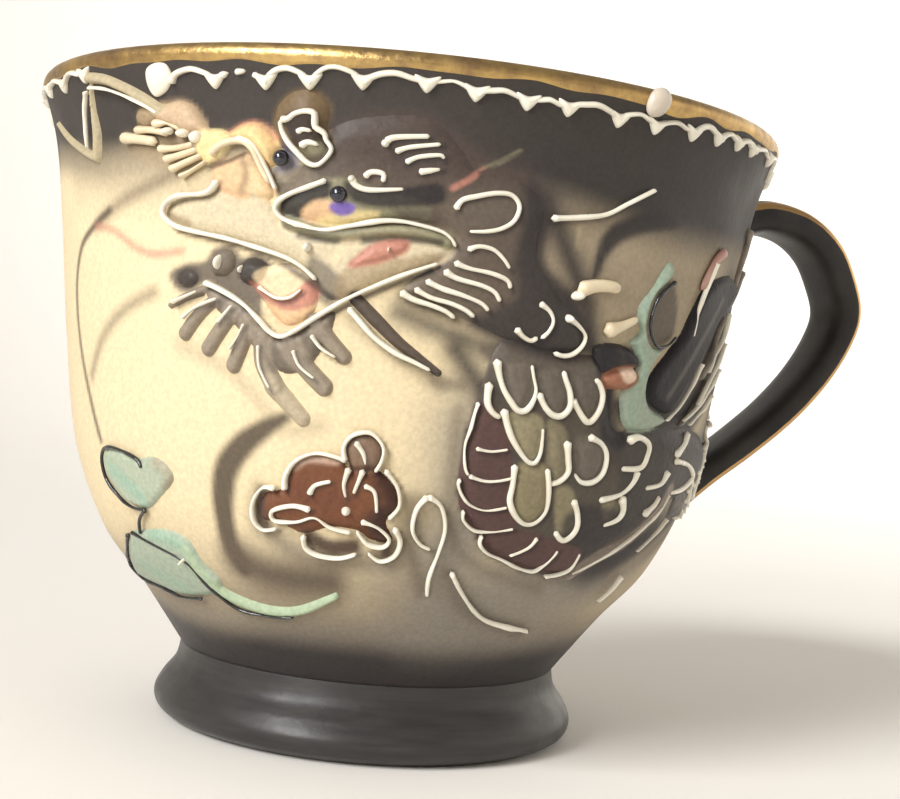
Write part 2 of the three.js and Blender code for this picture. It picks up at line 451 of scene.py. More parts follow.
def ground_finish(name, coat, grain, fleck):
    """Airbrushed matt paint: the piece's own paint attribute, with a fine speckle and faint unevenness."""
    f = Finish(name, Specular_IOR_Level=0.2, Coat_Weight=coat, Coat_Roughness=0.25)
    paint = f.node("Attribute", {"attribute_name": "paint"})
    speckle = f.band(f.noise(2600, 2.0), 0.35, 0.65)
    cloud = f.band(f.noise(160, 4.0), 0.3, 0.7)
    grains = f.mix(speckle, (1 - fleck,) * 3, (1 + fleck, 1 + 0.95 * fleck, 1 + 0.85 * fleck))
    shade = f.node("Mix", {"data_type": "RGBA", "blend_type": "MULTIPLY"}, 2, i0=1.0, i6=paint, i7=grains)
    f.set(Base_Color=shade, Roughness=0.42 + 0.16 * cloud)
    f.bump(f.noise(1700, 3.0), grain, 0.0002)
    return f.material


def foot_finish():
    """Satin charcoal, with faint level rings from the brush on the wheel."""
    f = Finish("charcoal_ground", Specular_IOR_Level=0.35)
    brush = f.node("Mapping", Vector=f.place(), Scale=(1.0, 1.0, 9.0))
    rings = f.node("TexNoise", Vector=brush, Scale=260.0, Detail=4.0)
    tone = f.mix(f.band(rings, 0.3, 0.7), (0.028, 0.026, 0.026), (0.043, 0.039, 0.037))
    f.set(Base_Color=tone, Roughness=f.band(f.noise(300), 0.3, 0.7, 0.3, 0.46))
    f.bump(f.noise(1400), 0.12, 0.0002)
    return f.material


def gold_finish():
    """Brushed-on bright gold, rubbed thin and browned in places."""
    f = Finish("gilding", Metallic=1.0)
    worn = f.band(f.noise(260, 6.0, 0.7), 0.4, 0.66)
    tone = f.mix(worn, (0.62, 0.42, 0.16), (0.3, 0.19, 0.1))
    f.set(Base_Color=tone, Roughness=f.band(f.noise(900, 4.0), 0.3, 0.7, 0.26, 0.5))
    f.bump(f.noise(1800, 3.0), 0.3, 0.0002)
    return f.material


def slip_finish(name, light, dark, rough, coat, grain=900.0, dents=0.2):
    """Trailed slip: two tones in soft patches, with a grain and a thin glaze over it."""
    f = Finish(name, Coat_Weight=coat, Coat_Roughness=0.12)
    f.set(Base_Color=f.mix(f.band(f.noise(grain * 0.5, 4.0), 0.32, 0.68), light, dark))
    f.set(Roughness=f.band(f.noise(grain), 0.3, 0.7, rough - 0.08, rough + 0.1))
    f.bump(f.noise(grain * 1.6, 3.0), dents, 0.0002)
    return f.material


def handle_finish():
    """Charcoal ground, with gold where the gilt attribute says so."""
    f = Finish("handle_ground", Specular_IOR_Level=0.22)
    gilt = f.node("Attribute", {"attribute_name": "gilt"}, 2)
    edge = f.band(gilt + 0.35 * (f.noise(700, 5.0) - 0.5), 0.42, 0.58)
    dark = f.mix(f.band(f.noise(260, 4.0), 0.3, 0.7), (0.02, 0.019, 0.019), (0.042, 0.038, 0.035))
    f.set(Base_Color=f.mix(edge, dark, (0.55, 0.33, 0.13)), Metallic=edge)
    f.set(Roughness=0.4 - 0.12 * edge)
    f.bump(f.noise(1400), 0.14, 0.0002)
    return f.material


PAINTED = ground_finish("painted_slip", 0.06, 0.4, 0.09)
WHITE = slip_finish("white_slip", (0.88, 0.84, 0.72), (0.78, 0.72, 0.58), 0.3, 0.5)
SHELL = slip_finish("shell_slip", (0.66, 0.58, 0.48), (0.56, 0.48, 0.39), 0.3, 0.4)
GREY = slip_finish("grey_slip", (0.15, 0.128, 0.112), (0.06, 0.052, 0.048), 0.5, 0.15, 1700, 0.55)
TAWNY = slip_finish("tawny_slip", (0.3, 0.25, 0.19), (0.13, 0.11, 0.09), 0.45, 0.2, 1500, 0.4)
CREAM = slip_finish("cream_slip", (0.78, 0.67, 0.46), (0.66, 0.54, 0.36), 0.34, 0.4)
PINK = slip_finish("pink_slip", (0.4, 0.2, 0.16), (0.48, 0.3, 0.23), 0.36, 0.3)
GREEN = slip_finish("green_enamel", (0.46, 0.56, 0.42), (0.34, 0.46, 0.36), 0.3, 0.6)
BLACK = slip_finish("black_line", (0.012, 0.012, 0.012), (0.02, 0.02, 0.02), 0.25, 0.5)
GLASS = slip_finish("black_glass", (0.003, 0.003, 0.008), (0.006, 0.006, 0.02), 0.06, 1.0)
INSIDE = slip_finish("inside_glaze", (0.8, 0.77, 0.7), (0.76, 0.73, 0.65), 0.2, 0.6, 300, 0.04)


# Shapes on the wall, laid out flat

FLAT_RADIUS = 29.5
SEAM = math.radians(CAMERA_TURN + 180)
FRONT_SEAM = math.radians(CAMERA_TURN)


def flat(points, seam=SEAM):
    """Wall points as (mm round the cup from a seam, height). The usual seam is opposite the camera."""
    angle = (np.arctan2(points[:, 1], points[:, 0]) - seam) % (2 * math.pi)
    return np.stack([angle * FLAT_RADIUS, points[:, 2]], axis=1)


def unflat(places, out=0.0):
    """Points moved out along the wall's normal, from places round the cup from the usual seam."""
    return on_wall(places[:, 0] / FLAT_RADIUS + SEAM, places[:, 1], out)


def depth(places, line, reach=None, margin=0.6):
    """How deep each flat place lies, in mm, inside a closed outline, or inside a band that reaches out on
    both sides of the line. It is negative outside, and -99 far away."""
    closed = reach is None
    line = smooth_line(line, 8, closed=closed)
    if closed:
        line = np.vstack([line, line[0]])
    line = evenly(line, 0.15)
    grow = margin if closed else margin + np.max(reach)
    near = np.all((places > line.min(0) - grow) & (places < line.max(0) + grow), axis=1)
    deep = np.full(len(places), -99.0)
    chosen = np.nonzero(near)[0]
    for some in np.array_split(chosen, len(chosen) // 6000 + 1):
        p = places[some]
        away = ((p[:, None] - line[None]) ** 2).sum(-1)
        distance = np.sqrt(away.min(1))
        if closed:
            a, b = line[:-1], line[1:]
            spans = (a[:, 1] > p[:, 1, None]) != (b[:, 1] > p[:, 1, None])
            rise = np.where(a[:, 1] == b[:, 1], 1, b[:, 1] - a[:, 1])
            left = p[:, 0, None] < a[:, 0] + (p[:, 1, None] - a[:, 1]) * (b[:, 0] - a[:, 0]) / rise
            inside = (spans & left).sum(1) % 2 == 1
            deep[some] = np.where(inside, distance, -distance)
        else:
            share = away.argmin(1) / (len(line) - 1)
            deep[some] = np.interp(share, np.linspace(0, 1, np.size(reach)), np.atleast_1d(reach)) - distance
    return deep


# Where a skin's edge goes into the wall, and where its back lies inside the wall
SKIN_EDGE = -0.35
SKIN_BACK = -0.6


def relief(shapes, step):
    """A raised skin over the wall: (points, faces), on a grid of one step. At depth d inside a shape it
    stands height * (1 - (1 - d / edge) ** 2) out, and height where d is over edge; the tallest shape wins."""
    laid = [(flat(thrown(line)), reach, height, edge) for line, reach, height, edge in shapes]
    spare = [1.0 + (0 if reach is None else np.max(reach)) for _, reach, _, _ in laid]
    low = np.min([line.min(0) - more for (line, _, _, _), more in zip(laid, spare)], axis=0)
    high = np.max([line.max(0) + more for (line, _, _, _), more in zip(laid, spare)], axis=0)
    u, v = np.meshgrid(np.arange(low[0], high[0], step), np.arange(low[1], high[1], step), indexing="ij")
    n, m = u.shape
    places = np.stack([u.ravel(), v.ravel()], axis=1)
    out = np.full(n * m, SKIN_EDGE)
    for line, reach, height, edge in laid:
        d = depth(places, line, reach)
        rise = height * (1 - (1 - np.clip(d / edge, 0, 1)) ** 2)
        out = np.maximum(out, np.where(d > 0, rise, max(2 * height / edge, 0.8) * d))
    on = out.reshape(n, m) > SKIN_EDGE + 0.01
    cell = on[:-1, :-1] | on[1:, :-1] | on[:-1, 1:] | on[1:, 1:]
    # Two cells that meet only at a corner get a neighbour, so that every edge has two faces
    for _ in range(4):
        a, b, c, d = cell[:-1, :-1], cell[1:, 1:], cell[1:, :-1], cell[:-1, 1:]
        crossed = (a & b & ~c & ~d) | (c & d & ~a & ~b)
        a |= crossed
        b |= crossed
        c |= crossed
        d |= crossed
    i, j = np.nonzero(cell)
    corner = i * m + j
    count = n * m
    front = np.stack([corner, corner + m, corner + m + 1, corner + 1], axis=1)
    faces = [front, front[:, ::-1] + count]
    padded = np.pad(cell, 1)
    for k, (di, dj) in enumerate(((0, -1), (1, 0), (0, 1), (-1, 0))):
        edge_cells = ~padded[i + 1 + di, j + 1 + dj]
        p, q = front[edge_cells, k], front[edge_cells, (k + 1) % 4]
        faces.append(np.stack([q, p, p + count, q + count], axis=1))
    faces = np.vstack(faces)
    points = np.vstack([unflat(places, out), unflat(places, SKIN_BACK)])
    used, again = np.unique(faces, return_inverse=True)
    return points[used], again.reshape(-1, 4)


# Airbrushed paint

CREAM_GROUND = np.array([0.73, 0.605, 0.39])
BEIGE_GROUND = np.array([0.33, 0.27, 0.19])
STONE_GROUND = np.array([0.25, 0.225, 0.19])
GREY_GROUND = np.array([0.17, 0.148, 0.125])
DARK_GROUND = np.array([0.038, 0.033, 0.033])
SMOKE_AND_SHADE = np.array([0.12, 0.092, 0.066])
HEAD_BROWN = np.array([0.075, 0.056, 0.048])
DOME_BROWN = np.array([0.17, 0.115, 0.06])
MUZZLE = np.array([0.57, 0.49, 0.34])
OLIVE = np.array([0.27, 0.25, 0.16])
TAN = np.array([0.34, 0.25, 0.15])
PEACH_SPRAY = np.array([0.68, 0.44, 0.25])
YELLOW_SPRAY = np.array([0.74, 0.6, 0.3])
ROSE = np.array([0.48, 0.21, 0.155])
BEARD_BROWN = np.array([0.135, 0.11, 0.088])
BODY_BROWN = np.array([0.125, 0.104, 0.084])
SCALE_OLIVE = np.array([0.3, 0.26, 0.16])
PLATE_BROWN = np.array([0.1, 0.055, 0.05])
PEARL_BROWN = np.array([0.165, 0.066, 0.032])
PEARL_SHADE = np.array([0.08, 0.052, 0.038])
LEAF_GREEN = np.array([0.3, 0.43, 0.33])
PALE_GREEN = np.array([0.35, 0.42, 0.33])
INK_AND_SHADOW = np.array([0.022, 0.019, 0.022])

# The dark band's lower edge where the photograph shows it, and its mean height elsewhere
BAND_EDGE = [(62, 158), (100, 164), (150, 157), (205, 152), (290, 150), (400, 190), (500, 190), (560, 204),
             (610, 222), (650, 236), (690, 246), (738, 258)]
BAND_HEIGHT = 41.5

# A layer of paint: pixels, reach in mm on both sides of the line (None where the pixels are a closed
# outline), softness of its edge in mm, strength, tone
GROUND_PAINT = [
    ([(540, 225), (620, 285), (700, 295), (745, 330)], 5.2, 10, 0.95, BEIGE_GROUND),
    ([(486, 440), (470, 520), (425, 592), (500, 600), (600, 570), (690, 480)], 3.9, 7.5, 0.9, STONE_GROUND),
    ([(80, 178), (140, 186), (210, 178)], 1.6, 4.2, 0.4, BEIGE_GROUND),
    ([(120, 560), (200, 600), (300, 590), (400, 590)], 2.0, 4.5, 0.55, BEIGE_GROUND),
    ([(60, 160), (110, 172), (170, 165)], 0.9, 2.6, 0.55, BEIGE_GROUND),
    # Curl on the left: soft at the top, then thin
    ([(190, 166), (156, 183), (123, 201), (97, 225)], 0.5, 1.3, 0.6, SMOKE_AND_SHADE),
    ([(110, 210), (92, 229), (81, 250), (77, 290), (81, 345), (91, 400), (101, 440)], 0.3, 0.5, 0.95, SMOKE_AND_SHADE),
    ([(154, 292), (122, 312), (102, 340), (92, 375)], 0.45, 1.3, 0.6, SMOKE_AND_SHADE),
    # Crescent beside the pearl
    ([(286, 417), (264, 429), (242, 446), (227, 468), (223, 494), (225, 520), (231, 545), (243, 566)],
     (0.4, 0.75, 0.98, 1.08, 1.1, 1.0, 0.95, 0.9), 0.9, 0.95, 0.72 * SMOKE_AND_SHADE),
    ([(236, 556), (270, 574), (330, 582)], 1.5, 3.0, 0.95, SMOKE_AND_SHADE),
    # Painted shade round the pearl and under it
    ([(258, 486), (254, 520), (282, 545), (312, 562), (352, 564), (392, 560), (408, 530), (406, 498)], 0.4,
     1.8, 0.5, SMOKE_AND_SHADE),
    ([(262, 528), (310, 552), (390, 562)], 0.8, 2.4, 0.5, GREY_GROUND),
    ([(97, 226), (115, 231), (135, 247), (154, 254), (182, 251)], 0.3, 0.55, 0.62, ROSE),
    # Smoke right of the head, behind the neck and round the body
    ([(655, 210), (620, 221), (604, 233), (596, 252), (591, 281), (599, 276), (608, 256), (624, 241),
      (648, 233), (680, 226)], None, 0.8, 0.95, DARK_GROUND),
    ([(578, 228), (578, 248)], 0.2, 0.5, 0.4, CREAM_GROUND),
    ([(455, 350), (470, 372), (484, 395)], 0.8, 2.0, 0.9, DARK_GROUND),
    ([(436, 380), (458, 386)], 0.4, 1.6, 0.7, DARK_GROUND),
    ([(545, 200), (566, 250), (585, 300), (592, 345), (608, 400), (614, 430)], 0.9, 2.2, 0.95, DARK_GROUND),
    ([(728, 290), (722, 380), (705, 440), (690, 500), (640, 545), (600, 562)], 1.9, 4.2, 0.9, DARK_GROUND),
    ([(530, 560), (580, 572), (612, 560), (650, 536)], 0.9, 2.0, 0.8, DARK_GROUND),
    ([(458, 410), (452, 470), (452, 530), (475, 565), (540, 590)], 0.35, 1.5, 0.55, SMOKE_AND_SHADE),
    ([(446, 574), (466, 612), (520, 634)], 0.4, 1.4, 0.6, SMOKE_AND_SHADE),
    ([(416, 500), (412, 545), (420, 592)], 0.5, 1.5, 0.6, SMOKE_AND_SHADE),
    # Painted shade under the beard and under the barbel
    ([(180, 345), (215, 362), (240, 380), (285, 428), (320, 425)], 0.4, 1.8, 0.35, SMOKE_AND_SHADE),
    ([(352, 320), (390, 352), (440, 386)], 0.4, 1.5, 0.55, SMOKE_AND_SHADE),
    ([(400, 312), (440, 330), (500, 352)], 0.8, 2.0, 0.8, DARK_GROUND),
    ([(716, 318), (716, 350), (708, 384), (692, 414), (664, 438)], 1.8, 1.8, 0.95, DARK_GROUND),
    ([(618, 348), (626, 385), (614, 408), (638, 436), (690, 426), (716, 382), (732, 318), (724, 300),
      (700, 350), (668, 410), (650, 380), (640, 352)], None, 0.8, 0.95, DARK_GROUND),
    ([(672, 281), (656, 298), (648, 325), (653, 344), (664, 344), (674, 333), (677, 305)], None, 0.6, 0.9,
     (0.12, 0.1, 0.078)),
    # Deep brown painted shade inside the loops round the pearl
    ([(310, 537), (330, 547), (354, 546)], 0.6, 0.7, 0.95, PEARL_SHADE),
    ([(262, 492), (259, 508), (266, 523)], 0.45, 0.7, 0.95, PEARL_SHADE),
    ([(372, 530), (388, 541), (386, 552)], 0.5, 0.7, 0.9, PEARL_SHADE),
]
HEAD_PAINT = [
    # Head, ear dome and muzzle
    ([(318, 170), (328, 128), (370, 112), (430, 114), (480, 150), (530, 172), (552, 215), (545, 262),
      (578, 300), (592, 345), (560, 360), (515, 348), (470, 326), (400, 298), (437, 263), (455, 245),
      (440, 230), (395, 222), (350, 226), (329, 181)], None, 1.4, 0.9, HEAD_BROWN),
    ([(532, 178), (550, 215), (545, 262), (576, 300), (590, 345), (560, 358), (515, 346), (470, 326),
      (492, 312), (516, 296), (514, 262), (520, 232), (524, 205)], None, 1.2, 0.85, DARK_GROUND),
    ([(278, 142), (275, 115), (285, 97), (301, 89), (318, 92), (331, 106), (328, 128), (332, 150),
      (320, 167), (301, 160), (286, 151)], None, 0.7, 0.9, DOME_BROWN),
    ([(289, 121), (303, 114), (316, 116), (318, 130), (329, 146), (318, 160), (301, 149)], None, 0.4, 0.8,
     INK_AND_SHADOW),
    ([(303, 150), (320, 146), (325, 153), (314, 161)], None, 0.5, 0.8, OLIVE),
    ([(174, 200), (215, 190), (226, 180), (260, 188), (283, 222), (330, 235), (400, 238), (450, 246),
      (440, 262), (380, 278), (345, 296), (330, 298), (300, 265), (250, 243), (190, 228), (171, 215)], None,
     0.6, 0.85, MUZZLE),
    ([(314, 258), (345, 285), (332, 306), (318, 300), (308, 280)], None, 0.7, 0.75, BODY_BROWN),
    ([(347, 270), (400, 260), (437, 256), (437, 263), (380, 281), (340, 297)], None, 0.6, 0.7, TAN),
    ([(276, 168), (300, 164), (330, 158), (342, 172), (330, 184), (303, 192), (283, 199), (277, 190),
      (272, 178)], None, 0.7, 0.9, (0.11, 0.088, 0.074)),
    # Eye, its lids and the brow's shade
    ([(327, 181), (303, 190), (283, 199), (278, 207), (285, 218), (303, 226), (330, 229), (365, 222),
      (398, 220), (424, 222), (430, 214), (420, 204), (402, 196), (370, 190), (355, 183)], None, 0.5, 0.95,
     OLIVE),
    ([(327, 182), (303, 190), (283, 200), (281, 210), (300, 217), (311, 204), (330, 196)], None, 0.4, 0.9,
     INK_AND_SHADOW),
    ([(304, 214), (318, 203), (334, 205), (330, 222), (312, 224)], None, 0.5, 0.9, PEACH_SPRAY),
    ([(318, 223), (342, 214), (378, 214), (365, 222), (332, 228)], None, 0.5, 0.85, YELLOW_SPRAY),
    ([(348, 183), (372, 191), (405, 190), (438, 186), (440, 203), (395, 207), (362, 204), (350, 196)], None,
     0.6, 0.9, INK_AND_SHADOW),
    ([(395, 212), (428, 210), (440, 222), (420, 226)], None, 1.0, 0.7, HEAD_BROWN),
    ([(333, 206), (343, 204), (354, 207), (352, 213), (343, 215), (335, 212)], None, 0.3, 0.9, (0.16, 0.1,
                                                                                                0.4)),
    ([(290, 223), (310, 230), (335, 235), (365, 233), (395, 231), (425, 234), (447, 243)], 0.4, 0.25, 0.9,
     OLIVE),
    ([(300, 236), (335, 242), (370, 241), (400, 239), (440, 243)], 0.12, 0.35, 0.7, INK_AND_SHADOW),
    ([(284, 146), (297, 154), (297, 168), (284, 175), (272, 168), (271, 153)], None, 0.5, 0.85, (0.16, 0.16,
                                                                                                 0.22)),
    ([(276, 171), (285, 169), (296, 168), (293, 179), (281, 181)], None, 0.4, 0.3, MUZZLE),
    ([(520, 151), (500, 162), (482, 168)], 0.1, 0.3, 0.8, OLIVE),
    ([(482, 168), (470, 179), (452, 189)], 0.1, 0.35, 0.8, ROSE),
    ([(462, 206), (484, 199), (506, 200), (508, 216), (488, 225), (466, 224)], None, 0.5, 0.6, BODY_BROWN),
    # Snout: beige mass, yellow cream, nostril, and painted shade in the hollow under the bridge
    ([(148, 106), (166, 104), (180, 101), (193, 105), (202, 117), (208, 131), (190, 134), (172, 128),
      (155, 119)], None, 0.4, 0.95, (0.55, 0.4, 0.26)),
    ([(160, 103), (182, 100), (197, 109), (207, 126)], 0.12, 0.4, 0.6, TAN),
    ([(138, 112), (146, 107), (157, 112), (157, 124), (146, 128), (138, 122)], None, 0.5, 0.9, TAN),
    ([(124, 134), (160, 133), (200, 136), (206, 160), (188, 176), (160, 166), (128, 148)], None, 1.0, 0.5,
     TAN),
    ([(204, 133), (222, 131), (233, 140), (224, 154), (214, 166), (204, 160), (202, 145)], None, 0.4, 0.95,
     YELLOW_SPRAY),
    ([(227, 137), (238, 127), (252, 122), (267, 127), (278, 141), (280, 157), (272, 167), (261, 158),
      (248, 145)], None, 0.3, 0.95, (0.8, 0.56, 0.27)),
    ([(231, 132), (242, 125), (254, 122), (267, 127), (277, 138)], 0.1, 0.5, 0.75, ROSE),
    ([(215, 166), (232, 158), (248, 154), (253, 175), (250, 198), (230, 194), (217, 184)], None, 0.4, 0.9,
     PEACH_SPRAY),
    # Painted shade under the bridge of the nose
    ([(246, 160), (249, 176), (244, 192)], 0.16, 0.5, 0.8, TAN),
    ([(211, 168), (226, 163), (245, 155)], 0.14, 0.35, 0.85, SMOKE_AND_SHADE),
    ([(258, 160), (266, 176), (276, 196), (266, 200), (256, 188)], None, 0.4, 0.8, (0.72, 0.5, 0.28)),
    ([(172, 205), (174, 216), (190, 223)], 0.16, 0.4, 0.7, TAN),
    # Mouth: dark lips, tongue and gums
    ([(170, 274), (185, 264), (205, 261), (214, 249), (232, 246), (243, 258), (256, 254), (272, 264),
      (272, 284), (262, 300), (262, 318), (245, 303), (225, 291), (208, 282), (190, 292), (176, 288)], None,
     0.6, 0.95, BEARD_BROWN),
    ([(181, 270), (196, 270), (199, 281), (189, 288), (178, 281)], None, 0.8, 0.7, INK_AND_SHADOW),
    ([(238, 270), (246, 260), (258, 259), (269, 266), (266, 278), (254, 284), (243, 281)], None, 0.3, 0.9,
     (0.05, 0.043, 0.04)),
    ([(260, 276), (278, 264), (298, 266), (310, 278), (306, 292), (292, 297), (276, 297), (262, 287)], None,
     0.3, 0.95, (0.72, 0.58, 0.38)),
    ([(253, 284), (262, 287), (270, 294), (284, 299), (299, 292), (309, 282), (319, 290), (312, 306),
      (290, 311), (270, 302)], None, 0.35, 0.95, ROSE),
    ([(268, 304), (290, 313), (313, 308), (314, 316), (291, 327), (276, 320)], None, 0.4, 0.9, PEACH_SPRAY),
    ([(350, 266), (361, 255), (373, 246), (392, 241), (408, 243), (405, 252), (389, 259), (372, 264)], None,
     0.35, 0.95, ROSE),
    # Painted highlight on the cheek
    ([(336, 258), (346, 244), (357, 243)], 0.2, 0.6, 0.7, CREAM_GROUND),
    # Painted shadows under the upper lip's trail and under the jaw's trail
    ([(180, 231), (216, 240), (250, 250), (280, 262), (305, 278), (332, 298)], 0.12, 0.4, 0.75, INK_AND_SHADOW),
    ([(212, 290), (238, 303), (258, 322), (274, 338), (286, 342), (310, 328), (345, 307), (380, 291),
      (430, 271)], 0.16, 0.5, 0.85, INK_AND_SHADOW),
]
BEARD_MASS = [(205, 284), (240, 300), (262, 322), (283, 338), (318, 318), (335, 312), (330, 335),
              (315, 360), (300, 372), (282, 372), (260, 354), (238, 328), (214, 306)]
# Locks of the beard: from the jaw to the tip, and the reach at each end in mm
LOCKS = [
    ([(202, 291), (186, 297), (172, 305)], (0.4, 0.3)),
    ([(215, 300), (200, 314), (186, 333)], (0.5, 0.62)),
    ([(235, 310), (222, 328), (209, 348)], (0.6, 0.66)),
    ([(250, 322), (243, 343), (234, 365)], (0.6, 0.66)),
    ([(263, 338), (264, 362), (276, 388)], (0.75, 0.8)),
    ([(290, 342), (304, 365), (324, 387)], (0.8, 0.72)),
    ([(316, 322), (329, 340), (344, 357)], (0.7, 0.6)),
]
LAST_LOCK = ([(274, 386), (288, 402), (303, 419)], (0.8, 0.62))
BARBEL = ([(356, 299), (375, 319), (398, 342), (418, 358), (438, 373)], (0.5, 0.52, 0.46, 0.38, 0.28))
BEARD_PAINT = (
    [(BEARD_MASS, None, 0.5, 0.95, BEARD_BROWN)]
    + [(path, reach, 0.4, 0.95, (0.26, 0.215, 0.165)) for path, reach in LOCKS]
    + [(*LAST_LOCK, 0.5, 0.9, (0.42, 0.35, 0.25)), (*BARBEL, 0.3, 0.95, HEAD_BROWN)]
)
BODY_OUTLINE = [(478, 398), (494, 352), (512, 338), (560, 352), (600, 360), (608, 400), (614, 430),
                (640, 428), (690, 430), (710, 452), (702, 488), (668, 500), (640, 530), (600, 550),
                (560, 575), (500, 560), (474, 532), (458, 500), (462, 450)]
BODY_PAINT = [
    (BODY_OUTLINE, None, 0.5, 0.95, (0.065, 0.054, 0.045)),
    ([(482, 345), (520, 345), (580, 358), (590, 372), (530, 364), (490, 362)], None, 0.8, 0.8, BODY_BROWN),
    ([(500, 364), (527, 366), (529, 390), (520, 404), (510, 400), (502, 382)], None, 0.5, 0.9,
     1.25 * BODY_BROWN),
    ([(536, 372), (558, 372), (562, 395), (555, 410), (546, 406), (538, 390)], None, 0.5, 0.9,
     1.1 * BODY_BROWN),
    ([(568, 375), (588, 372), (593, 395), (585, 414), (576, 406), (570, 392)], None, 0.5, 0.9, BODY_BROWN),
    ([(506, 416), (520, 412), (538, 420), (536, 445), (529, 458), (518, 448), (509, 432)], None, 0.4, 0.9,
     SCALE_OLIVE),
    ([(545, 422), (561, 432), (562, 468), (552, 478), (544, 462)], None, 0.5, 0.6, SCALE_OLIVE),
    ([(572, 440), (588, 438), (599, 455), (588, 476), (574, 474)], None, 0.5, 0.9, 1.2 * BODY_BROWN),
    ([(618, 445), (636, 442), (636, 458), (620, 463)], None, 0.6, 0.7, BODY_BROWN),
    ([(598, 500), (612, 498), (612, 512), (600, 517)], None, 0.5, 0.9, SCALE_OLIVE),
    ([(514, 466), (541, 466), (542, 500), (531, 517), (519, 517), (510, 498)], None, 0.3, 0.95, (0.26, 0.22,
                                                                                                 0.13)),
    ([(553, 488), (568, 492), (570, 520), (560, 533), (552, 525)], None, 0.5, 0.8, SCALE_OLIVE),
    ([(612, 435), (690, 435), (705, 470), (660, 500), (620, 532), (604, 520), (616, 480)], None, 1.0, 0.6,
     DARK_GROUND),
    ([(560, 520), (590, 505), (620, 520), (600, 545), (566, 556)], None, 1.0, 0.8, DARK_GROUND),
    ([(606, 352), (609, 385), (606, 410), (603, 432), (616, 440)], 0.6, 0.9, 0.95, INK_AND_SHADOW),
    ([(664, 490), (653, 510), (635, 530), (617, 545), (591, 559), (566, 574)], 0.5, 0.7, 0.85, (0.3, 0.25,
                                                                                                0.21)),
    ([(680, 512), (652, 546), (612, 576)], 0.6, 1.2, 0.5, BEIGE_GROUND),
    # Belly plates
    ([(476, 404), (496, 412), (506, 440), (510, 500), (510, 528), (474, 528), (459, 500), (464, 448)], None,
     0.2, 0.95, PLATE_BROWN),
    ([(480, 533), (520, 531), (552, 541), (576, 552), (560, 571), (530, 568), (500, 558), (480, 545)], None,
     0.2, 0.95, PLATE_BROWN),
]
FLAME_LEAF = [(669, 262), (673, 270), (668, 281), (655, 294), (648, 310), (645, 330), (651, 346),
              (662, 350), (654, 360), (647, 376), (644, 394), (649, 408), (664, 420), (645, 430),
              (624, 428), (619, 404), (621, 388), (635, 371), (633, 350), (628, 342), (639, 332),
              (637, 318), (639, 305), (652, 288), (660, 274)]
DARK_LEAF = [(728, 276), (733, 292), (725, 308), (713, 327), (699, 359), (682, 390), (667, 413), (653, 408),
             (644, 394), (650, 374), (668, 350), (679, 335), (690, 312), (706, 285)]
CLAW = [(600, 376), (616, 368), (632, 368), (633, 380), (620, 389), (604, 388)]
HOOF = [(592, 348), (612, 343), (630, 350), (636, 366), (616, 368), (598, 374)]
FLAME_PAINT = [
    (FLAME_LEAF, None, 0.15, 1.0, (0.32, 0.38, 0.3)),
    ([(664, 268), (654, 290), (642, 310), (641, 332), (634, 345), (642, 366), (630, 390), (628, 424)], 0.12,
     0.6, 0.5, LEAF_GREEN),
    (DARK_LEAF, None, 0.3, 1.0, 0.7 * INK_AND_SHADOW),
    ([(716, 300), (690, 350), (662, 396)], 0.15, 0.6, 0.5, GREY_GROUND),
    (HOOF, None, 0.4, 0.95, INK_AND_SHADOW),
    (CLAW, None, 0.3, 0.95, (0.34, 0.15, 0.09)),
    # Painted highlight on the claw
    ([(617, 371), (630, 370), (631, 379), (620, 381)], None, 0.3, 0.9, (0.74, 0.56, 0.42)),
]
CLOUD_TOP = [(108, 448), (122, 449), (141, 458), (152, 456), (166, 464), (174, 480), (160, 498), (150, 508),
             (137, 506), (125, 497), (112, 478), (106, 460)]
CLOUD_LEAF = [(133, 531), (150, 529), (170, 530), (189, 540), (203, 561), (222, 582), (212, 594),
              (184, 594), (166, 586), (146, 576), (135, 563), (131, 546)]
CLOUD_TAIL = ([(190, 552), (206, 574), (226, 592), (250, 604), (278, 611), (305, 609), (336, 596)],
              (0.4, 0.5, 0.5, 0.45, 0.4, 0.4, 0.3))
CLOUD_PAINT = [
    (CLOUD_TOP, None, 0.3, 0.9, PALE_GREEN),
    ([(158, 462), (172, 474), (170, 492)], 0.35, 1.0, 0.7, BEIGE_GROUND),
    ([(116, 468), (134, 486), (146, 498)], 0.5, 0.9, 0.9, LEAF_GREEN),
    (CLOUD_LEAF, None, 0.25, 0.95, PALE_GREEN),
    ([(154, 534), (178, 542), (194, 556)], 0.4, 0.6, 0.85, LEAF_GREEN),
    ([(146, 562), (168, 576), (192, 588)], 0.4, 0.9, 0.7, LEAF_GREEN),
    (*CLOUD_TAIL, 0.3, 0.95, (0.4, 0.5, 0.34)),
]
PEARL = [(285, 487), (290, 467), (305, 453), (341, 456), (348, 467), (374, 468), (394, 486), (400, 508),
         (386, 521), (392, 540), (372, 540), (357, 530), (330, 527), (304, 533), (280, 522), (262, 517),
         (264, 494)]
PEARL_KNOB = [(347, 458), (346, 444), (356, 433), (371, 433), (383, 446), (382, 460), (374, 470), (355, 470)]
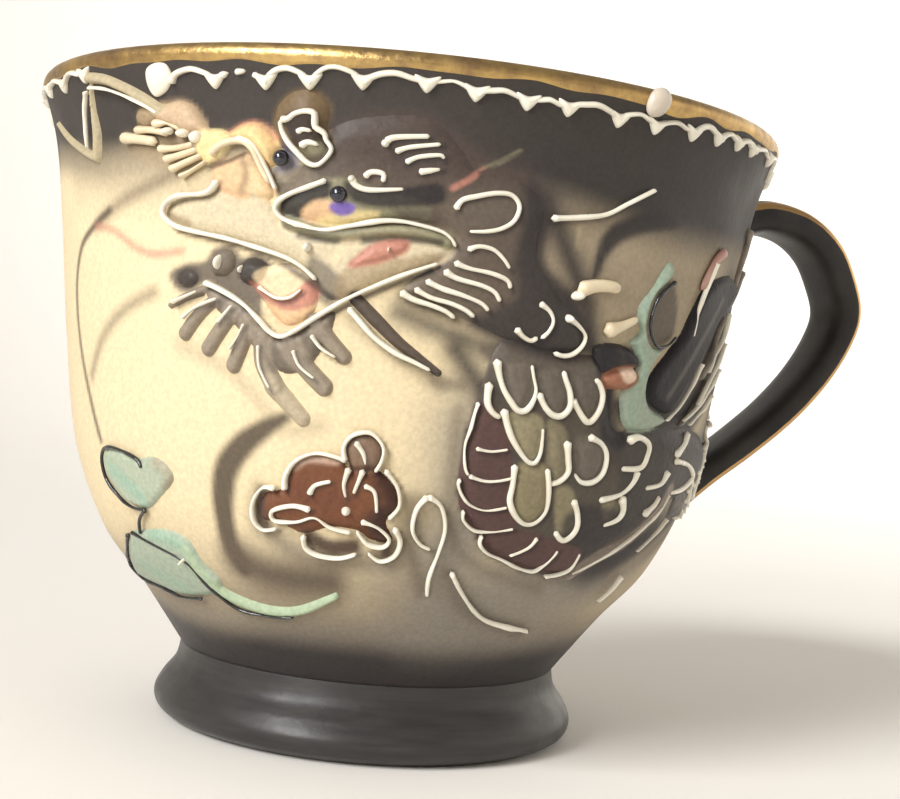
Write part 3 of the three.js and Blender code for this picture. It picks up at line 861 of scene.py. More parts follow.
PEARL_PAINT = [
    (PEARL, None, 0.25, 1.0, PEARL_BROWN),
    # Painted highlight on the pearl's upper left, then painted shade down its right side
    ([(294, 464), (310, 455), (338, 458)], 0.35, 0.6, 0.9, (0.62, 0.44, 0.33)),
    ([(384, 476), (394, 505), (376, 524), (388, 538)], 0.8, 1.5, 0.9, (0.05, 0.025, 0.02)),
    ([(300, 488), (320, 500), (345, 498)], 0.7, 1.6, 0.6, (0.13, 0.05, 0.03)),
    (PEARL_KNOB, None, 0.3, 0.9, (0.15, 0.085, 0.06)),
    # Painted shade at the pearl's left end and along its lower edge
    ([(262, 496), (264, 515)], 0.4, 0.6, 0.7, HEAD_BROWN),
    ([(308, 535), (330, 545), (352, 542)], 0.4, 0.8, 0.75, HEAD_BROWN),
]
# The same on the side that the photograph doesn't show: (degrees, height)
BACK_PAINT = [
    ([(-30, 27), (0, 28), (20, 30), (50, 35), (90, 29), (125, 21), (145, 24), (160, 30)], 3.6, 7.0, 0.85,
     DARK_GROUND),
    ([(60, 20), (75, 14), (95, 13), (105, 18)], 1.3, 2.6, 0.75, SMOKE_AND_SHADE),
    ([(110, 40), (130, 36), (150, 40), (160, 37)], 0.8, 1.8, 0.5, SMOKE_AND_SHADE),
    ([(95, 40), (103, 37), (112, 38)], 0.22, 0.6, 0.8, ROSE),
]


def ease(x):
    """A smooth step from 0 to 1."""
    x = np.clip(x, 0, 1)
    return x * x * (3 - 2 * x)


def spray(colour, places, line, reach, soft, strength, tone, grow=0.0):
    """Lays a tone over a shape grown by some mm, fading across its soft edge."""
    mask = ease(0.5 + (depth(places, line, reach, margin=soft + grow) + grow) / soft)
    colour += (tone - colour) * (mask * strength)[:, None]


# Pixels from a trail to its painted shadow beside it, and how far in mm a skin's paint goes past its outlines
SHADE_BESIDE = (2.5, 4.0)
SKIN_GROWTH = 0.12


def painted(points, raised=True):
    """The colour of the cup at each point of the wall, one airbrush layer over another, and painted shadow by
    each trail.

    The raised skins carry the enamels and the beard, and the wall under them keeps the ground's colour."""
    angle, z = np.arctan2(points[:, 1], points[:, 0]), points[:, 2]
    places = flat(points)
    wave = 1.2 * np.sin(3 * angle + 1.0) + 0.8 * np.sin(5 * angle + 2.2) + 0.5 * np.sin(11 * angle)
    edge = thrown(BAND_EDGE)
    turn = np.unwrap(np.arctan2(edge[:, 1], edge[:, 0]))
    from_start = (angle - turn[0]) % (2 * math.pi)
    sweep = turn[-1] - turn[0]
    seen = np.interp(from_start, turn - turn[0], edge[:, 2])
    join = ease(np.minimum(from_start - sweep, 2 * math.pi - from_start) / 0.5)
    nearest_end = np.where(from_start < (sweep + 2 * math.pi) / 2, edge[-1, 2], edge[0, 2])
    hidden = nearest_end + (BAND_HEIGHT + wave - nearest_end) * join
    band = np.where(from_start <= sweep, seen, hidden)
    colour = np.tile(CREAM_GROUND, (len(points), 1))
    # Turned away from the head, the cream goes over to beige
    away = ease((1 - np.cos(angle - math.radians(-138))) / 1.1)
    colour += (BEIGE_GROUND - colour) * (0.6 * away)[:, None]
    layers = [
        (ease((21.5 - z + wave) / 9), BEIGE_GROUND, 0.6),
        (ease((15.2 - z + 0.5 * wave) / 4.5), GREY_GROUND, 0.85),
        (ease((11.4 - z) / 2.8), DARK_GROUND, 0.97),
    ]
    for mask, tone, strength in layers:
        colour += (tone - colour) * (mask * strength)[:, None]
    for line, reach, soft, strength, tone in GROUND_PAINT:
        spray(colour, places, flat(thrown(line)), reach, soft, strength, tone)
    for line, reach, soft, strength, tone in BACK_PAINT:
        spray(colour, flat(points, FRONT_SEAM), flat(wrapped(line), FRONT_SEAM), reach, soft, strength, tone)
    colour += (DARK_GROUND - colour) * (0.98 * ease((z - band + 2.1) / 4.2))[:, None]
    enamels = (BEARD_PAINT, WHISKER_PAINT, FLAME_PAINT, CLOUD_PAINT, PEARL_PAINT) if raised else ()
    grow = SKIN_GROWTH if raised else 0.0
    for paint in (BODY_PAINT, HEAD_PAINT, *enamels):
        for line, reach, soft, strength, tone in paint:
            spray(colour, places, flat(thrown(line)), reach, soft, strength, tone, grow)
    # Painted shadow: each trail's path, moved down and to the right, sprayed dark on the wall
    for line in WHITE_TRAILS + SCALE_TRAILS + SMALL_TRAILS + FINE_TRAILS:
        beside = flat(thrown(np.array(line) + SHADE_BESIDE))
        spray(colour, places, beside, 0.16, 0.4, 0.6, INK_AND_SHADOW)
    return np.clip(colour, 0, 1)


def make_bowl():
    """The outside wall with the rounded lip as one turned skin, and the inside with the floor as another."""
    around, rows = 470, 186
    z = np.linspace(NECK_HEIGHT, HEIGHT - LIP_RADIUS, rows)
    outside = np.stack([wall_radius(z), z], axis=1)
    centre = np.array([outside[-1, 0] - LIP_RADIUS, HEIGHT - LIP_RADIUS])
    turn = np.linspace(0, math.pi, 13)[1:]
    lip = centre + LIP_RADIUS * np.stack([np.cos(turn), np.sin(turn)], axis=1)
    profile = np.vstack([[0.02, NECK_HEIGHT], [NECK_RADIUS - 1, NECK_HEIGHT], outside, lip])
    points, quads = turned(profile, around)
    write("bowl_outside", points, quads,
          ground_finish("airbrushed_ground", 0.0, 0.12, 0.07), ["bowl"],
          {"paint": painted(points, raised=False)})
    well = NECK_HEIGHT + FLOOR
    low = np.linspace(0.93, 0.25, 30) * HEIGHT
    inside = np.vstack([
        lip[-1], np.stack([wall_radius(low) - WALL, low], axis=1),
        smooth_line([(wall_radius(0.25 * HEIGHT) - WALL - 0.6, 0.24 * HEIGHT),
                     (wall_radius(0.21 * HEIGHT) - WALL - 2, well + 0.7), (NECK_RADIUS - 5, well)], 6)[1:],
        [0.02, well]])
    points, quads = turned(inside, 160)
    write("bowl_inside", points, quads, INSIDE)


def make_foot():
    """The rolled foot: resting ring, double swell, waist, and the hollow underneath."""
    ring_inside = FOOT_RADIUS - 1.7 - FOOT_RING_WIDTH
    under = [(0.02, FOOT_RECESS), (ring_inside - 1.2, FOOT_RECESS), (ring_inside - 0.2, 0.4),
             (ring_inside, 0)]
    outer = smooth_line([
        (FOOT_RADIUS - 1.7, 0), (FOOT_RADIUS - 0.35, 0.75), (FOOT_RADIUS, 1.9),
        (FOOT_RADIUS - 0.6, 3.2), (NECK_RADIUS + 0.35, 4.7), (NECK_RADIUS, NECK_HEIGHT)], 10)
    profile = np.vstack([under, outer])
    points, quads = turned(profile, 240)
    write("foot_ring", points, quads, foot_finish(), ["foot"])


def make_gilt_rim():
    """Gold film over the lip, its lower edge uneven as a brush leaves it."""
    around = 480
    angle = np.linspace(0, 2 * math.pi, around, endpoint=False)
    random = np.random.default_rng(4)
    wobble = sum(random.normal(0, 0.05) * np.sin(k * angle + random.uniform(0, 6)) for k in range(2, 40, 3))
    drop = 0.55 + wobble
    film = 0.05
    centre = wall_radius(HEIGHT - LIP_RADIUS) - LIP_RADIUS
    rings = []
    for share in np.linspace(0, 1, 6):
        z = HEIGHT - LIP_RADIUS - drop * (1 - share)
        rings.append(on_wall(angle, z, film if share else -0.05))
    for turn in np.linspace(0, math.pi, 12)[1:]:
        r = centre + (LIP_RADIUS + film) * math.cos(turn)
        z = np.full(around, HEIGHT - LIP_RADIUS + (LIP_RADIUS + film) * math.sin(turn))
        rings.append(np.stack([r * np.cos(angle), r * np.sin(angle), z], axis=1))
    for deep in (0.6, 1.2):
        r = centre - LIP_RADIUS - film - 0.05 * deep
        z = np.full(around, HEIGHT - LIP_RADIUS - deep)
        rings.append(np.stack([r * np.cos(angle), r * np.sin(angle), z], axis=1))
    quads = ring_quads(len(rings), around)
    write("gilt_lip", np.vstack(rings), quads, gold_finish(), ["gilt_rim"])


# The ear's curve: shares of the reach, and of the way up from the lower root to the upper one
EAR_SHARES = [(0.79, 1.045), (0.875, 1.022), (0.94, 0.952), (0.98, 0.85), (1, 0.752), (0.985, 0.655),
              (0.94, 0.53), (0.87, 0.4), (0.78, 0.275), (0.69, 0.165)]


def make_handle():
    """The ear: a rounded strap carried along a curve, thinner to its lower end and flared at both roots."""
    rise = HANDLE_TOP - HANDLE_LOW
    ear = smooth_line([
        (wall_radius(HANDLE_TOP) - 1.4, HANDLE_TOP),
        (wall_radius(HANDLE_TOP) + 1.6, HANDLE_TOP + 0.5),
        *[(out * HANDLE_REACH, HANDLE_LOW + up * rise) for out, up in EAR_SHARES],
        (wall_radius(HANDLE_LOW) + 1.4, HANDLE_LOW + 1.2),
        (wall_radius(HANDLE_LOW) - 1.4, HANDLE_LOW - 0.8),
    ], 12)
    ear = evenly(ear, 0.4)
    n, m = len(ear), 48
    share = np.linspace(0, 1, n)
    tangent = unit(np.gradient(ear, axis=0))
    outward = np.stack([-tangent[:, 1], tangent[:, 0]], axis=1)
    root = np.exp(-(share / 0.05) ** 2) + np.exp(-((1 - share) / 0.05) ** 2)
    thick = HANDLE_THICKNESS * (1.04 - 0.22 * share) * (1 + 0.35 * root)
    wide = HANDLE_WIDTH * (1.0 - 0.1 * share) * (1 + 0.16 * root)
    turn = np.linspace(0, 2 * math.pi, m, endpoint=False)
    # A superellipse section: across the strap and through it
    power = 2 / STRAP_EXPONENT
    across = np.sign(np.cos(turn)) * np.abs(np.cos(turn)) ** power
    through = np.sign(np.sin(turn)) * np.abs(np.sin(turn)) ** power
    y = across[None] * (wide / 2)[:, None]
    t = through[None] * (thick / 2)[:, None]
    x = ear[:, 0][:, None] + outward[:, 0][:, None] * t
    z = ear[:, 1][:, None] + outward[:, 1][:, None] * t
    # Both ends stop inside the bowl's wall
    radius = np.hypot(x, y)
    kept = np.maximum(radius, wall_radius(z) - ROOT_DEPTH) / radius
    rings = np.stack([x * kept, y * kept, z], axis=-1)
    heap = Heap()
    heap.tube(rings[:, ::-1])
    edge = np.exp(-((np.abs(y) / (wide / 2)[:, None] - 0.86) / 0.16) ** 2) * (t > 0.2 * thick[:, None])
    gilt = np.concatenate([edge[:, ::-1].ravel(), [0, 0]])
    write("strap_handle", heap.points[0], heap.faces[0], handle_finish(), ["handle"],
          {"gilt": gilt})


# Trailed slip in the photograph, as pixels

WHITE_TRAILS = [
    # Bridge of the nose, upper lip, jaw and barbel
    [(240, 138), (254, 143), (263, 157), (271, 173), (278, 190)],
    [(222, 180), (214, 190), (204, 194), (182, 196), (170, 204), (168, 215), (180, 226), (205, 233),
     (228, 238), (258, 247), (287, 257), (304, 267), (318, 280)],
    [(208, 282), (225, 290), (245, 303), (262, 320), (272, 331), (283, 336), (297, 330), (320, 315),
     (345, 300), (375, 286), (405, 274), (438, 263)],
    [(349, 307), (360, 320), (375, 337), (395, 352), (415, 362), (430, 370)],
    # Eye, brow and forehead
    [(329, 180), (310, 187), (292, 194), (281, 201), (278, 210), (286, 219), (302, 225), (325, 230),
     (350, 226), (380, 221), (400, 221), (420, 225), (440, 231), (450, 238), (455, 247)],
    [(353, 178), (358, 186), (372, 190), (405, 189)], [(365, 178), (372, 172), (384, 174), (383, 183)],
    [(386, 142), (396, 137), (430, 136)], [(395, 152), (410, 147), (441, 144)],
    [(405, 163), (418, 157), (440, 155), (443, 160)], [(418, 172), (441, 169)],
    # Horn ring and jowls
    [(454, 210), (461, 200), (476, 196), (495, 193), (510, 195), (517, 206), (512, 220), (500, 228),
     (485, 231), (467, 231)],
    [(466, 250), (477, 246), (491, 249), (501, 258), (508, 269)],
    [(453, 262), (468, 268), (490, 273), (505, 280), (508, 289)],
    [(443, 270), (456, 278), (480, 285), (493, 292), (498, 302)],
    [(425, 280), (441, 288), (462, 295), (480, 303), (487, 311)],
    [(414, 288), (430, 297), (450, 303), (465, 310), (473, 317)],
    [(400, 291), (413, 299), (431, 305), (445, 311), (454, 318)],
    [(549, 218), (578, 217), (603, 214), (625, 203), (652, 189)],
    # Scales of the neck
    [(513, 327), (521, 336), (529, 340), (535, 336)],
    [(536, 302), (546, 310), (550, 320), (546, 330), (538, 338)],
    [(565, 317), (575, 325), (582, 335), (579, 345), (570, 353), (560, 355), (551, 352)],
]
SCALE_TRAILS = [
    [(495, 358), (497, 372), (501, 387), (508, 400), (515, 409), (523, 409), (530, 400), (533, 389),
     (531, 376), (529, 363)],
    [(535, 391), (542, 406), (550, 414), (559, 414), (566, 405), (566, 391), (562, 378), (560, 369)],
    [(568, 397), (575, 410), (582, 420), (588, 419), (595, 408), (598, 394), (595, 382), (590, 378)],
    [(488, 381), (486, 392), (486, 403), (491, 412), (499, 417)],
    [(501, 407), (504, 421), (509, 436), (517, 450), (525, 460), (532, 461), (537, 452), (539, 438),
     (540, 426)],
    [(563, 439), (564, 456), (564, 470), (556, 479), (546, 482)],
    [(584, 435), (597, 442), (602, 454), (598, 471), (588, 480), (577, 480), (570, 471)],
    [(512, 462), (510, 482), (507, 498), (512, 512), (521, 521), (532, 520), (542, 509), (545, 491),
     (544, 466)],
    [(569, 497), (573, 509), (573, 523), (567, 533), (558, 537), (551, 528)],
    [(623, 440), (634, 436), (643, 442), (642, 453), (635, 466), (616, 467)],
    [(632, 468), (628, 480), (616, 492), (594, 498)], [(616, 494), (618, 507), (612, 517), (598, 523)],
    [(669, 454), (678, 443), (683, 430)], [(669, 459), (683, 464), (686, 475), (676, 487), (665, 491)],
    [(637, 512), (648, 503), (654, 493)], [(662, 468), (655, 482), (640, 486)],
]
SMALL_TRAILS = [
    # Strokes under the body, and the knot
    [(450, 569), (459, 587), (473, 607), (489, 618), (525, 627)], [(617, 572), (610, 583), (594, 598)],
    [(427, 494), (416, 507), (412, 527), (419, 541), (430, 547)],
    [(427, 494), (440, 504), (444, 526), (437, 551), (428, 574), (426, 592)],
    # Pearl
    [(287, 488), (288, 473), (298, 459), (317, 452), (338, 456), (347, 461)],
    [(346, 460), (345, 445), (354, 434), (371, 432), (383, 445), (382, 459), (375, 471)],
    [(356, 440), (364, 452), (366, 464)], [(350, 466), (345, 482), (347, 496)], [(364, 468), (354, 492)],
    [(385, 468), (397, 485), (399, 504), (388, 517)], [(364, 483), (375, 490), (377, 511)],
    [(311, 492), (317, 483), (333, 479)],
    [(278, 486), (265, 486), (256, 499), (256, 516), (265, 527), (279, 526)],
    [(313, 507), (295, 503), (275, 508), (277, 518), (298, 519), (316, 515), (331, 525), (352, 530)],
    [(361, 518), (376, 524), (389, 536), (383, 544), (368, 541), (357, 528)],
    [(394, 525), (400, 539), (394, 553), (380, 558), (368, 550)],
    [(305, 532), (307, 544), (319, 552), (340, 555), (357, 551)],
]
BOLD_TRAILS = [
    [(284, 119), (292, 118), (298, 113), (308, 110), (317, 112), (318, 121), (319, 127), (327, 133),
     (329, 140), (334, 149), (328, 159), (320, 165), (311, 163), (301, 153), (292, 142), (286, 130),
     (284, 119)],
    [(300, 133), (306, 129), (315, 131)], [(303, 147), (311, 142), (322, 145)],
]
FINE_TRAILS = [
    [(176, 302), (200, 291)], [(186, 318), (199, 307), (220, 298)], [(221, 322), (235, 305)],
    [(232, 349), (240, 337), (247, 323)], [(261, 344), (262, 366), (272, 388)],
    [(295, 349), (301, 365), (316, 378)], [(313, 334), (322, 347), (337, 357)],
    [(261, 286), (270, 293), (280, 298), (292, 297), (303, 289)],
    [(477, 401), (473, 413), (469, 428), (464, 442), (463, 455), (464, 467), (467, 474)],
    [(474, 447), (489, 450), (506, 448)], [(467, 474), (482, 479), (496, 479), (511, 476)],
    [(459, 477), (457, 483), (461, 494), (469, 503), (484, 508), (505, 505)],
    [(462, 508), (462, 518), (473, 528), (491, 529), (511, 526)],
    [(480, 532), (478, 541), (485, 550), (500, 557), (516, 565), (530, 568), (541, 562), (550, 553),
     (554, 547)],
    [(534, 534), (526, 544), (507, 553)], [(541, 573), (555, 571), (567, 565), (576, 550)],
    [(712, 262), (704, 282), (695, 306), (687, 336)],
    [(664, 492), (652, 511), (634, 529), (614, 545), (590, 559), (568, 571)],
    [(662, 516), (650, 532), (632, 549)], [(724, 312), (719, 334), (711, 352), (703, 372)],
    [(720, 342), (712, 364), (702, 384), (692, 404)], [(714, 368), (704, 388), (692, 406), (678, 420)],
    [(706, 394), (696, 410), (684, 424)], [(696, 362), (686, 386), (674, 406), (662, 420)],
]
CREAM_TRAILS = [
    ([(126, 138), (142, 139), (160, 142)], 0.85), ([(140, 130), (156, 130), (172, 134)], 0.6),
    ([(158, 124), (170, 123), (184, 129)], 0.6),
    ([(162, 149), (180, 148), (198, 144)], 0.66), ([(168, 160), (184, 155), (202, 149)], 0.6),
    ([(174, 170), (188, 163), (206, 155)], 0.55), ([(184, 177), (196, 170), (210, 161)], 0.42),
    ([(576, 290), (592, 286), (606, 286), (618, 289)], 1.05), ([(602, 331), (619, 326), (636, 318)], 1.05),
]
GREY_TRAILS = [
    ([(748, 228), (744, 248), (738, 268), (732, 290)], 0.7), ([(740, 270), (735, 288), (728, 306)], 0.5),
    ([(722, 316), (712, 346), (698, 380)], 0.5), ([(706, 380), (694, 404), (678, 426)], 0.5),
]
BLACK_TRAILS = [
    [(146, 467), (139, 457), (121, 448), (109, 447), (106, 459), (111, 478), (125, 497), (137, 506),
     (149, 508)],
    [(149, 508), (143, 518), (144, 532)],
    [(135, 530), (161, 544), (187, 558), (201, 572), (222, 593), (243, 607), (269, 613), (295, 615)],
    [(132, 532), (131, 546), (135, 563), (147, 576), (168, 586), (184, 594), (205, 596)],
    [(672, 281), (655, 298), (647, 325), (653, 345), (664, 345), (673, 336)],
]
PINK_TRAILS = [[(722, 252), (713, 261), (705, 276), (699, 290)]]
DROPS = [((222, 262), 0.3, 1.9, 80), ((245, 269), 0.2, 1.6, 80), ((309, 247), 0.3, 1.2, 70),
         ((347, 508), 0.36, 1, 0), ((200, 137), 0.5, 1.1, 0), ((187, 133), 0.36, 1.5, 0),
         ((172, 131), 0.3, 1.6, 0), ((389, 249), 0.1, 2.2, 80), ((575, 295), 0.36, 1.5, 20),
         ((187, 557), 0.14, 1, 0), ((353, 179), 0.3, 1, 0), ((386, 143), 0.32, 1, 0),
         ((566, 318), 0.32, 1, 0)]
EYES = [(284, 158), (340, 194)]
BORDER_BEAD = (658, 102)
BORDER_LEFT = [(42, 102), (52, 93), (66, 88), (86, 78)]
BORDER_CUSPS = [(172, 84), (216, 83), (266, 84), (310, 84), (363, 84), (427, 87), (476, 96), (527, 105),
                (568, 111), (618, 122), (655, 129), (692, 136), (717, 141), (737, 146), (751, 152),
                (767, 162)]
BORDER_DASHES = [[(221, 76), (229, 73)], [(236, 72), (246, 71)], [(253, 73), (262, 80), (268, 84)]]
BORDER_PITCH = 7.8
BORDER_START = [(147, 70), (155, 63), (166, 64), (172, 76), (168, 90), (157, 97), (149, 86)]

# Raised areas: pixels, then in mm the reach (None for an outline), the height and the rounded edge's width
HEAD_RELIEF = [
    ([(300, 172), (330, 130), (372, 117), (430, 119), (462, 150), (480, 175), (520, 182), (543, 210),
      (536, 255), (560, 300), (582, 325), (576, 352), (520, 345), (470, 322), (402, 294), (436, 264),
      (454, 246), (440, 228), (398, 219), (350, 224), (310, 224), (285, 216), (282, 202)], None, 0.55, 1.6),
    ([(277, 142), (275, 116), (285, 98), (301, 90), (318, 93), (330, 107), (328, 128), (336, 150),
      (322, 167), (302, 160), (287, 151)], None, 0.85, 1.6),
    ([(172, 206), (214, 192), (226, 176), (262, 188), (283, 224), (330, 234), (400, 236), (452, 246),
      (437, 262), (380, 282), (330, 300), (300, 265), (250, 243), (190, 229), (170, 216)], None, 0.3, 1.0),
    ([(288, 222), (310, 229), (335, 234), (365, 232), (395, 230), (425, 233), (447, 242)], 0.55, 0.75, 0.6),
    ([(148, 106), (166, 104), (180, 101), (193, 105), (202, 117), (210, 132), (190, 135), (172, 128),
      (155, 119)], None, 0.75, 1.0),
    ([(138, 112), (146, 107), (157, 112), (157, 124), (146, 128), (138, 122)], None, 0.4, 0.6),
    ([(196, 130), (222, 129), (235, 140), (228, 156), (214, 168), (203, 162), (190, 148)], None, 0.6, 0.9),
    ([(227, 137), (238, 127), (252, 122), (267, 127), (278, 141), (280, 157), (272, 167), (261, 158),
      (248, 145)], None, 1.0, 1.3),
    ([(213, 168), (232, 158), (250, 152), (262, 170), (274, 196), (252, 200), (230, 196), (216, 186)], None,
     0.5, 0.7),
    ([(240, 268), (248, 259), (258, 258), (269, 266), (266, 279), (254, 285), (243, 281)], None, 0.85, 0.8),
    ([(212, 262), (222, 250), (233, 252), (236, 266), (226, 276), (214, 274)], None, 0.5, 0.7),
    ([(182, 270), (194, 270), (199, 280), (189, 288), (178, 281)], None, 0.35, 0.6),
    ([(254, 284), (262, 270), (285, 263), (305, 268), (318, 288), (314, 312), (290, 326), (272, 312)], None,
     0.3, 0.7),
    ([(348, 267), (361, 254), (373, 245), (392, 240), (409, 242), (405, 253), (389, 260), (372, 265)], None,
     0.55, 0.6),
]
BEARD_RELIEF = [
    (BEARD_MASS, None, 0.45, 0.8),
    *[(path, reach, 0.5, 0.5) for path, reach in LOCKS],
    (*LAST_LOCK, 0.4, 0.7),
    (*BARBEL, 0.34, 0.5),
]
WHISKER_RELIEF = [
    ([(60, 124), (72, 140), (88, 153), (99, 158)], (0.22, 0.3, 0.36, 0.42), 0.4, 0.35),
    ([(99, 157), (99, 135), (95, 110), (92, 86)], (0.5, 0.45, 0.26, 0.2), 0.5, 0.4),
    ([(90, 78), (106, 80), (125, 88), (145, 99), (162, 110)], (0.42, 0.42, 0.42, 0.44, 0.4), 0.5, 0.45),
]
WHISKER_TONE = (0.44, 0.37, 0.24)
WHISKER_PAINT = [(line, reach, 0.2, 1.0, WHISKER_TONE) for line, reach, _, _ in WHISKER_RELIEF]
WHISKER_LINES = [
    [(91, 90), (90, 110), (91, 130), (92, 148)], [(94, 87), (108, 88), (126, 94), (145, 103), (162, 113)],
]
BRIDGE = ([(215, 156), (222, 147), (234, 141), (247, 141), (257, 150), (264, 166), (273, 184)], 0.66)
BODY_RELIEF = [
    (BODY_OUTLINE, None, 0.5, 1.4),
    ([(500, 362), (528, 364), (531, 392), (519, 408), (508, 400)], None, 0.72, 0.9),
    ([(536, 370), (560, 370), (565, 398), (554, 413), (542, 405)], None, 0.72, 0.9),
    ([(568, 374), (590, 372), (596, 396), (585, 418), (574, 408)], None, 0.72, 0.9),
    ([(506, 416), (538, 420), (537, 448), (529, 460), (514, 446)], None, 0.72, 0.9),
    ([(545, 424), (562, 434), (563, 468), (550, 480), (543, 462)], None, 0.72, 0.9),
    ([(572, 440), (592, 438), (601, 456), (590, 478), (574, 476)], None, 0.72, 0.9),
    ([(512, 466), (543, 466), (543, 502), (530, 519), (517, 519), (508, 498)], None, 0.72, 0.9),
    ([(662, 492), (653, 510), (635, 530), (617, 545), (591, 559), (566, 574)], 0.5, 0.6, 0.5),
]
FLAME_RELIEF = [(FLAME_LEAF, None, 0.5, 0.6), (DARK_LEAF, None, 0.6, 0.8), (CLAW, None, 0.7, 0.6),
                (HOOF, None, 0.6, 0.6)]
CLOUD_RELIEF = [(CLOUD_TOP, None, 0.4, 0.6), (CLOUD_LEAF, None, 0.4, 0.6), (*CLOUD_TAIL, 0.45, 0.45)]
PEARL_RELIEF = [(PEARL, None, 0.55, 1.2), (PEARL_KNOB, None, 0.6, 0.8)]

# Widths of the trails and their usual height in mm, and how far off the wall they start over the skins
TRAIL_WIDTH = 0.44
SCALE_WIDTH = 0.54
SMALL_WIDTH = 0.38
BOLD_WIDTH = 0.5
FINE_WIDTH = 0.28
WHISKER_WIDTH = 0.3
BLACK_WIDTH = 0.32
PINK_WIDTH = 0.95
TRAIL_HEIGHT = 0.4
OVER_RELIEF = 0.4
OVER_EAR = 0.75
EYE_RADIUS = 0.62


def write_relief(name, shapes, replaces=(), step=0.16):
    """One raised skin, with the paint that lies on it."""
    points, faces = relief(shapes, step)
    write(name, points, faces, PAINTED, replaces, {"paint": painted(points)})


def make_dragon():
    """The dragon that the photograph shows: painted skins first, then the trails that lie over them."""
    write_relief("dragon_head_slip", HEAD_RELIEF, ["dragon_head_relief", "dragon_neck_relief"])
    write_relief("dragon_beard_slip", BEARD_RELIEF, step=0.13)
    write_relief("dragon_whisker_slip", WHISKER_RELIEF, step=0.11)
    write_relief("dragon_front_slip", BODY_RELIEF)
    write_relief("flame_slip", FLAME_RELIEF, ["cloud_relief_front_right"], 0.14)
    write_relief("cloud_slip", CLOUD_RELIEF, ["cloud_relief_front_left"], 0.14)
    write_relief("pearl_slip", PEARL_RELIEF, ["flaming_pearl_relief"])
    white, black, cream, grey, pink = (Heap() for _ in range(5))
    widths = ((WHITE_TRAILS, TRAIL_WIDTH), (SCALE_TRAILS, SCALE_WIDTH), (SMALL_TRAILS, SMALL_WIDTH))
    for paths, width in widths:
        for k, path in enumerate(paths):
            trail(white, smooth_line(thrown(path)), width, TRAIL_HEIGHT, OVER_RELIEF, seed=k)
    for path in BOLD_TRAILS:
        trail(white, smooth_line(thrown(path)), BOLD_WIDTH, TRAIL_HEIGHT, OVER_EAR)
    for k, path in enumerate(FINE_TRAILS):
        trail(white, smooth_line(thrown(path)), FINE_WIDTH, 0.3, OVER_RELIEF, seed=k)
    for path in WHISKER_LINES:
        trail(white, smooth_line(thrown(path)), WHISKER_WIDTH, 0.3, OVER_RELIEF)
    for place, radius, stretch, lean in DROPS:
        blob(white, thrown([place])[0], radius, 0.8, 0.3, stretch, lean)
    for path in BLACK_TRAILS:
        trail(black, smooth_line(thrown(path)), BLACK_WIDTH, 0.2, 0.35, seed=3)
    for path, width in CREAM_TRAILS:
        trail(cream, smooth_line(thrown(path)), width, 0.5, 0.25)
    trail(cream, smooth_line(thrown(BRIDGE[0])), BRIDGE[1], 0.5, 0.5)
    for path, width in GREY_TRAILS:
        trail(grey, smooth_line(thrown(path)), width, 0.5, taper=1.6)
    for path in PINK_TRAILS:
        trail(pink, smooth_line(thrown(path)), PINK_WIDTH, TRAIL_HEIGHT, 0.2)
    write_heap("dragon_white_trails", white, WHITE)
    write_heap("dragon_cream_trails", cream, CREAM)
    write_heap("dragon_grey_trails", grey, TAWNY)
    write_heap("dragon_pink_trails", pink, PINK)
    write_heap("cloud_black_lines", black, BLACK)
    for k, (place, node) in enumerate(zip(EYES, ("far_eye", "near_eye"))):
        heap = Heap()
        blob(heap, thrown([place])[0], EYE_RADIUS, EYE_RADIUS, 0.55)
        write_heap("eye_bead_%d" % (k + 1), heap, GLASS, [node])


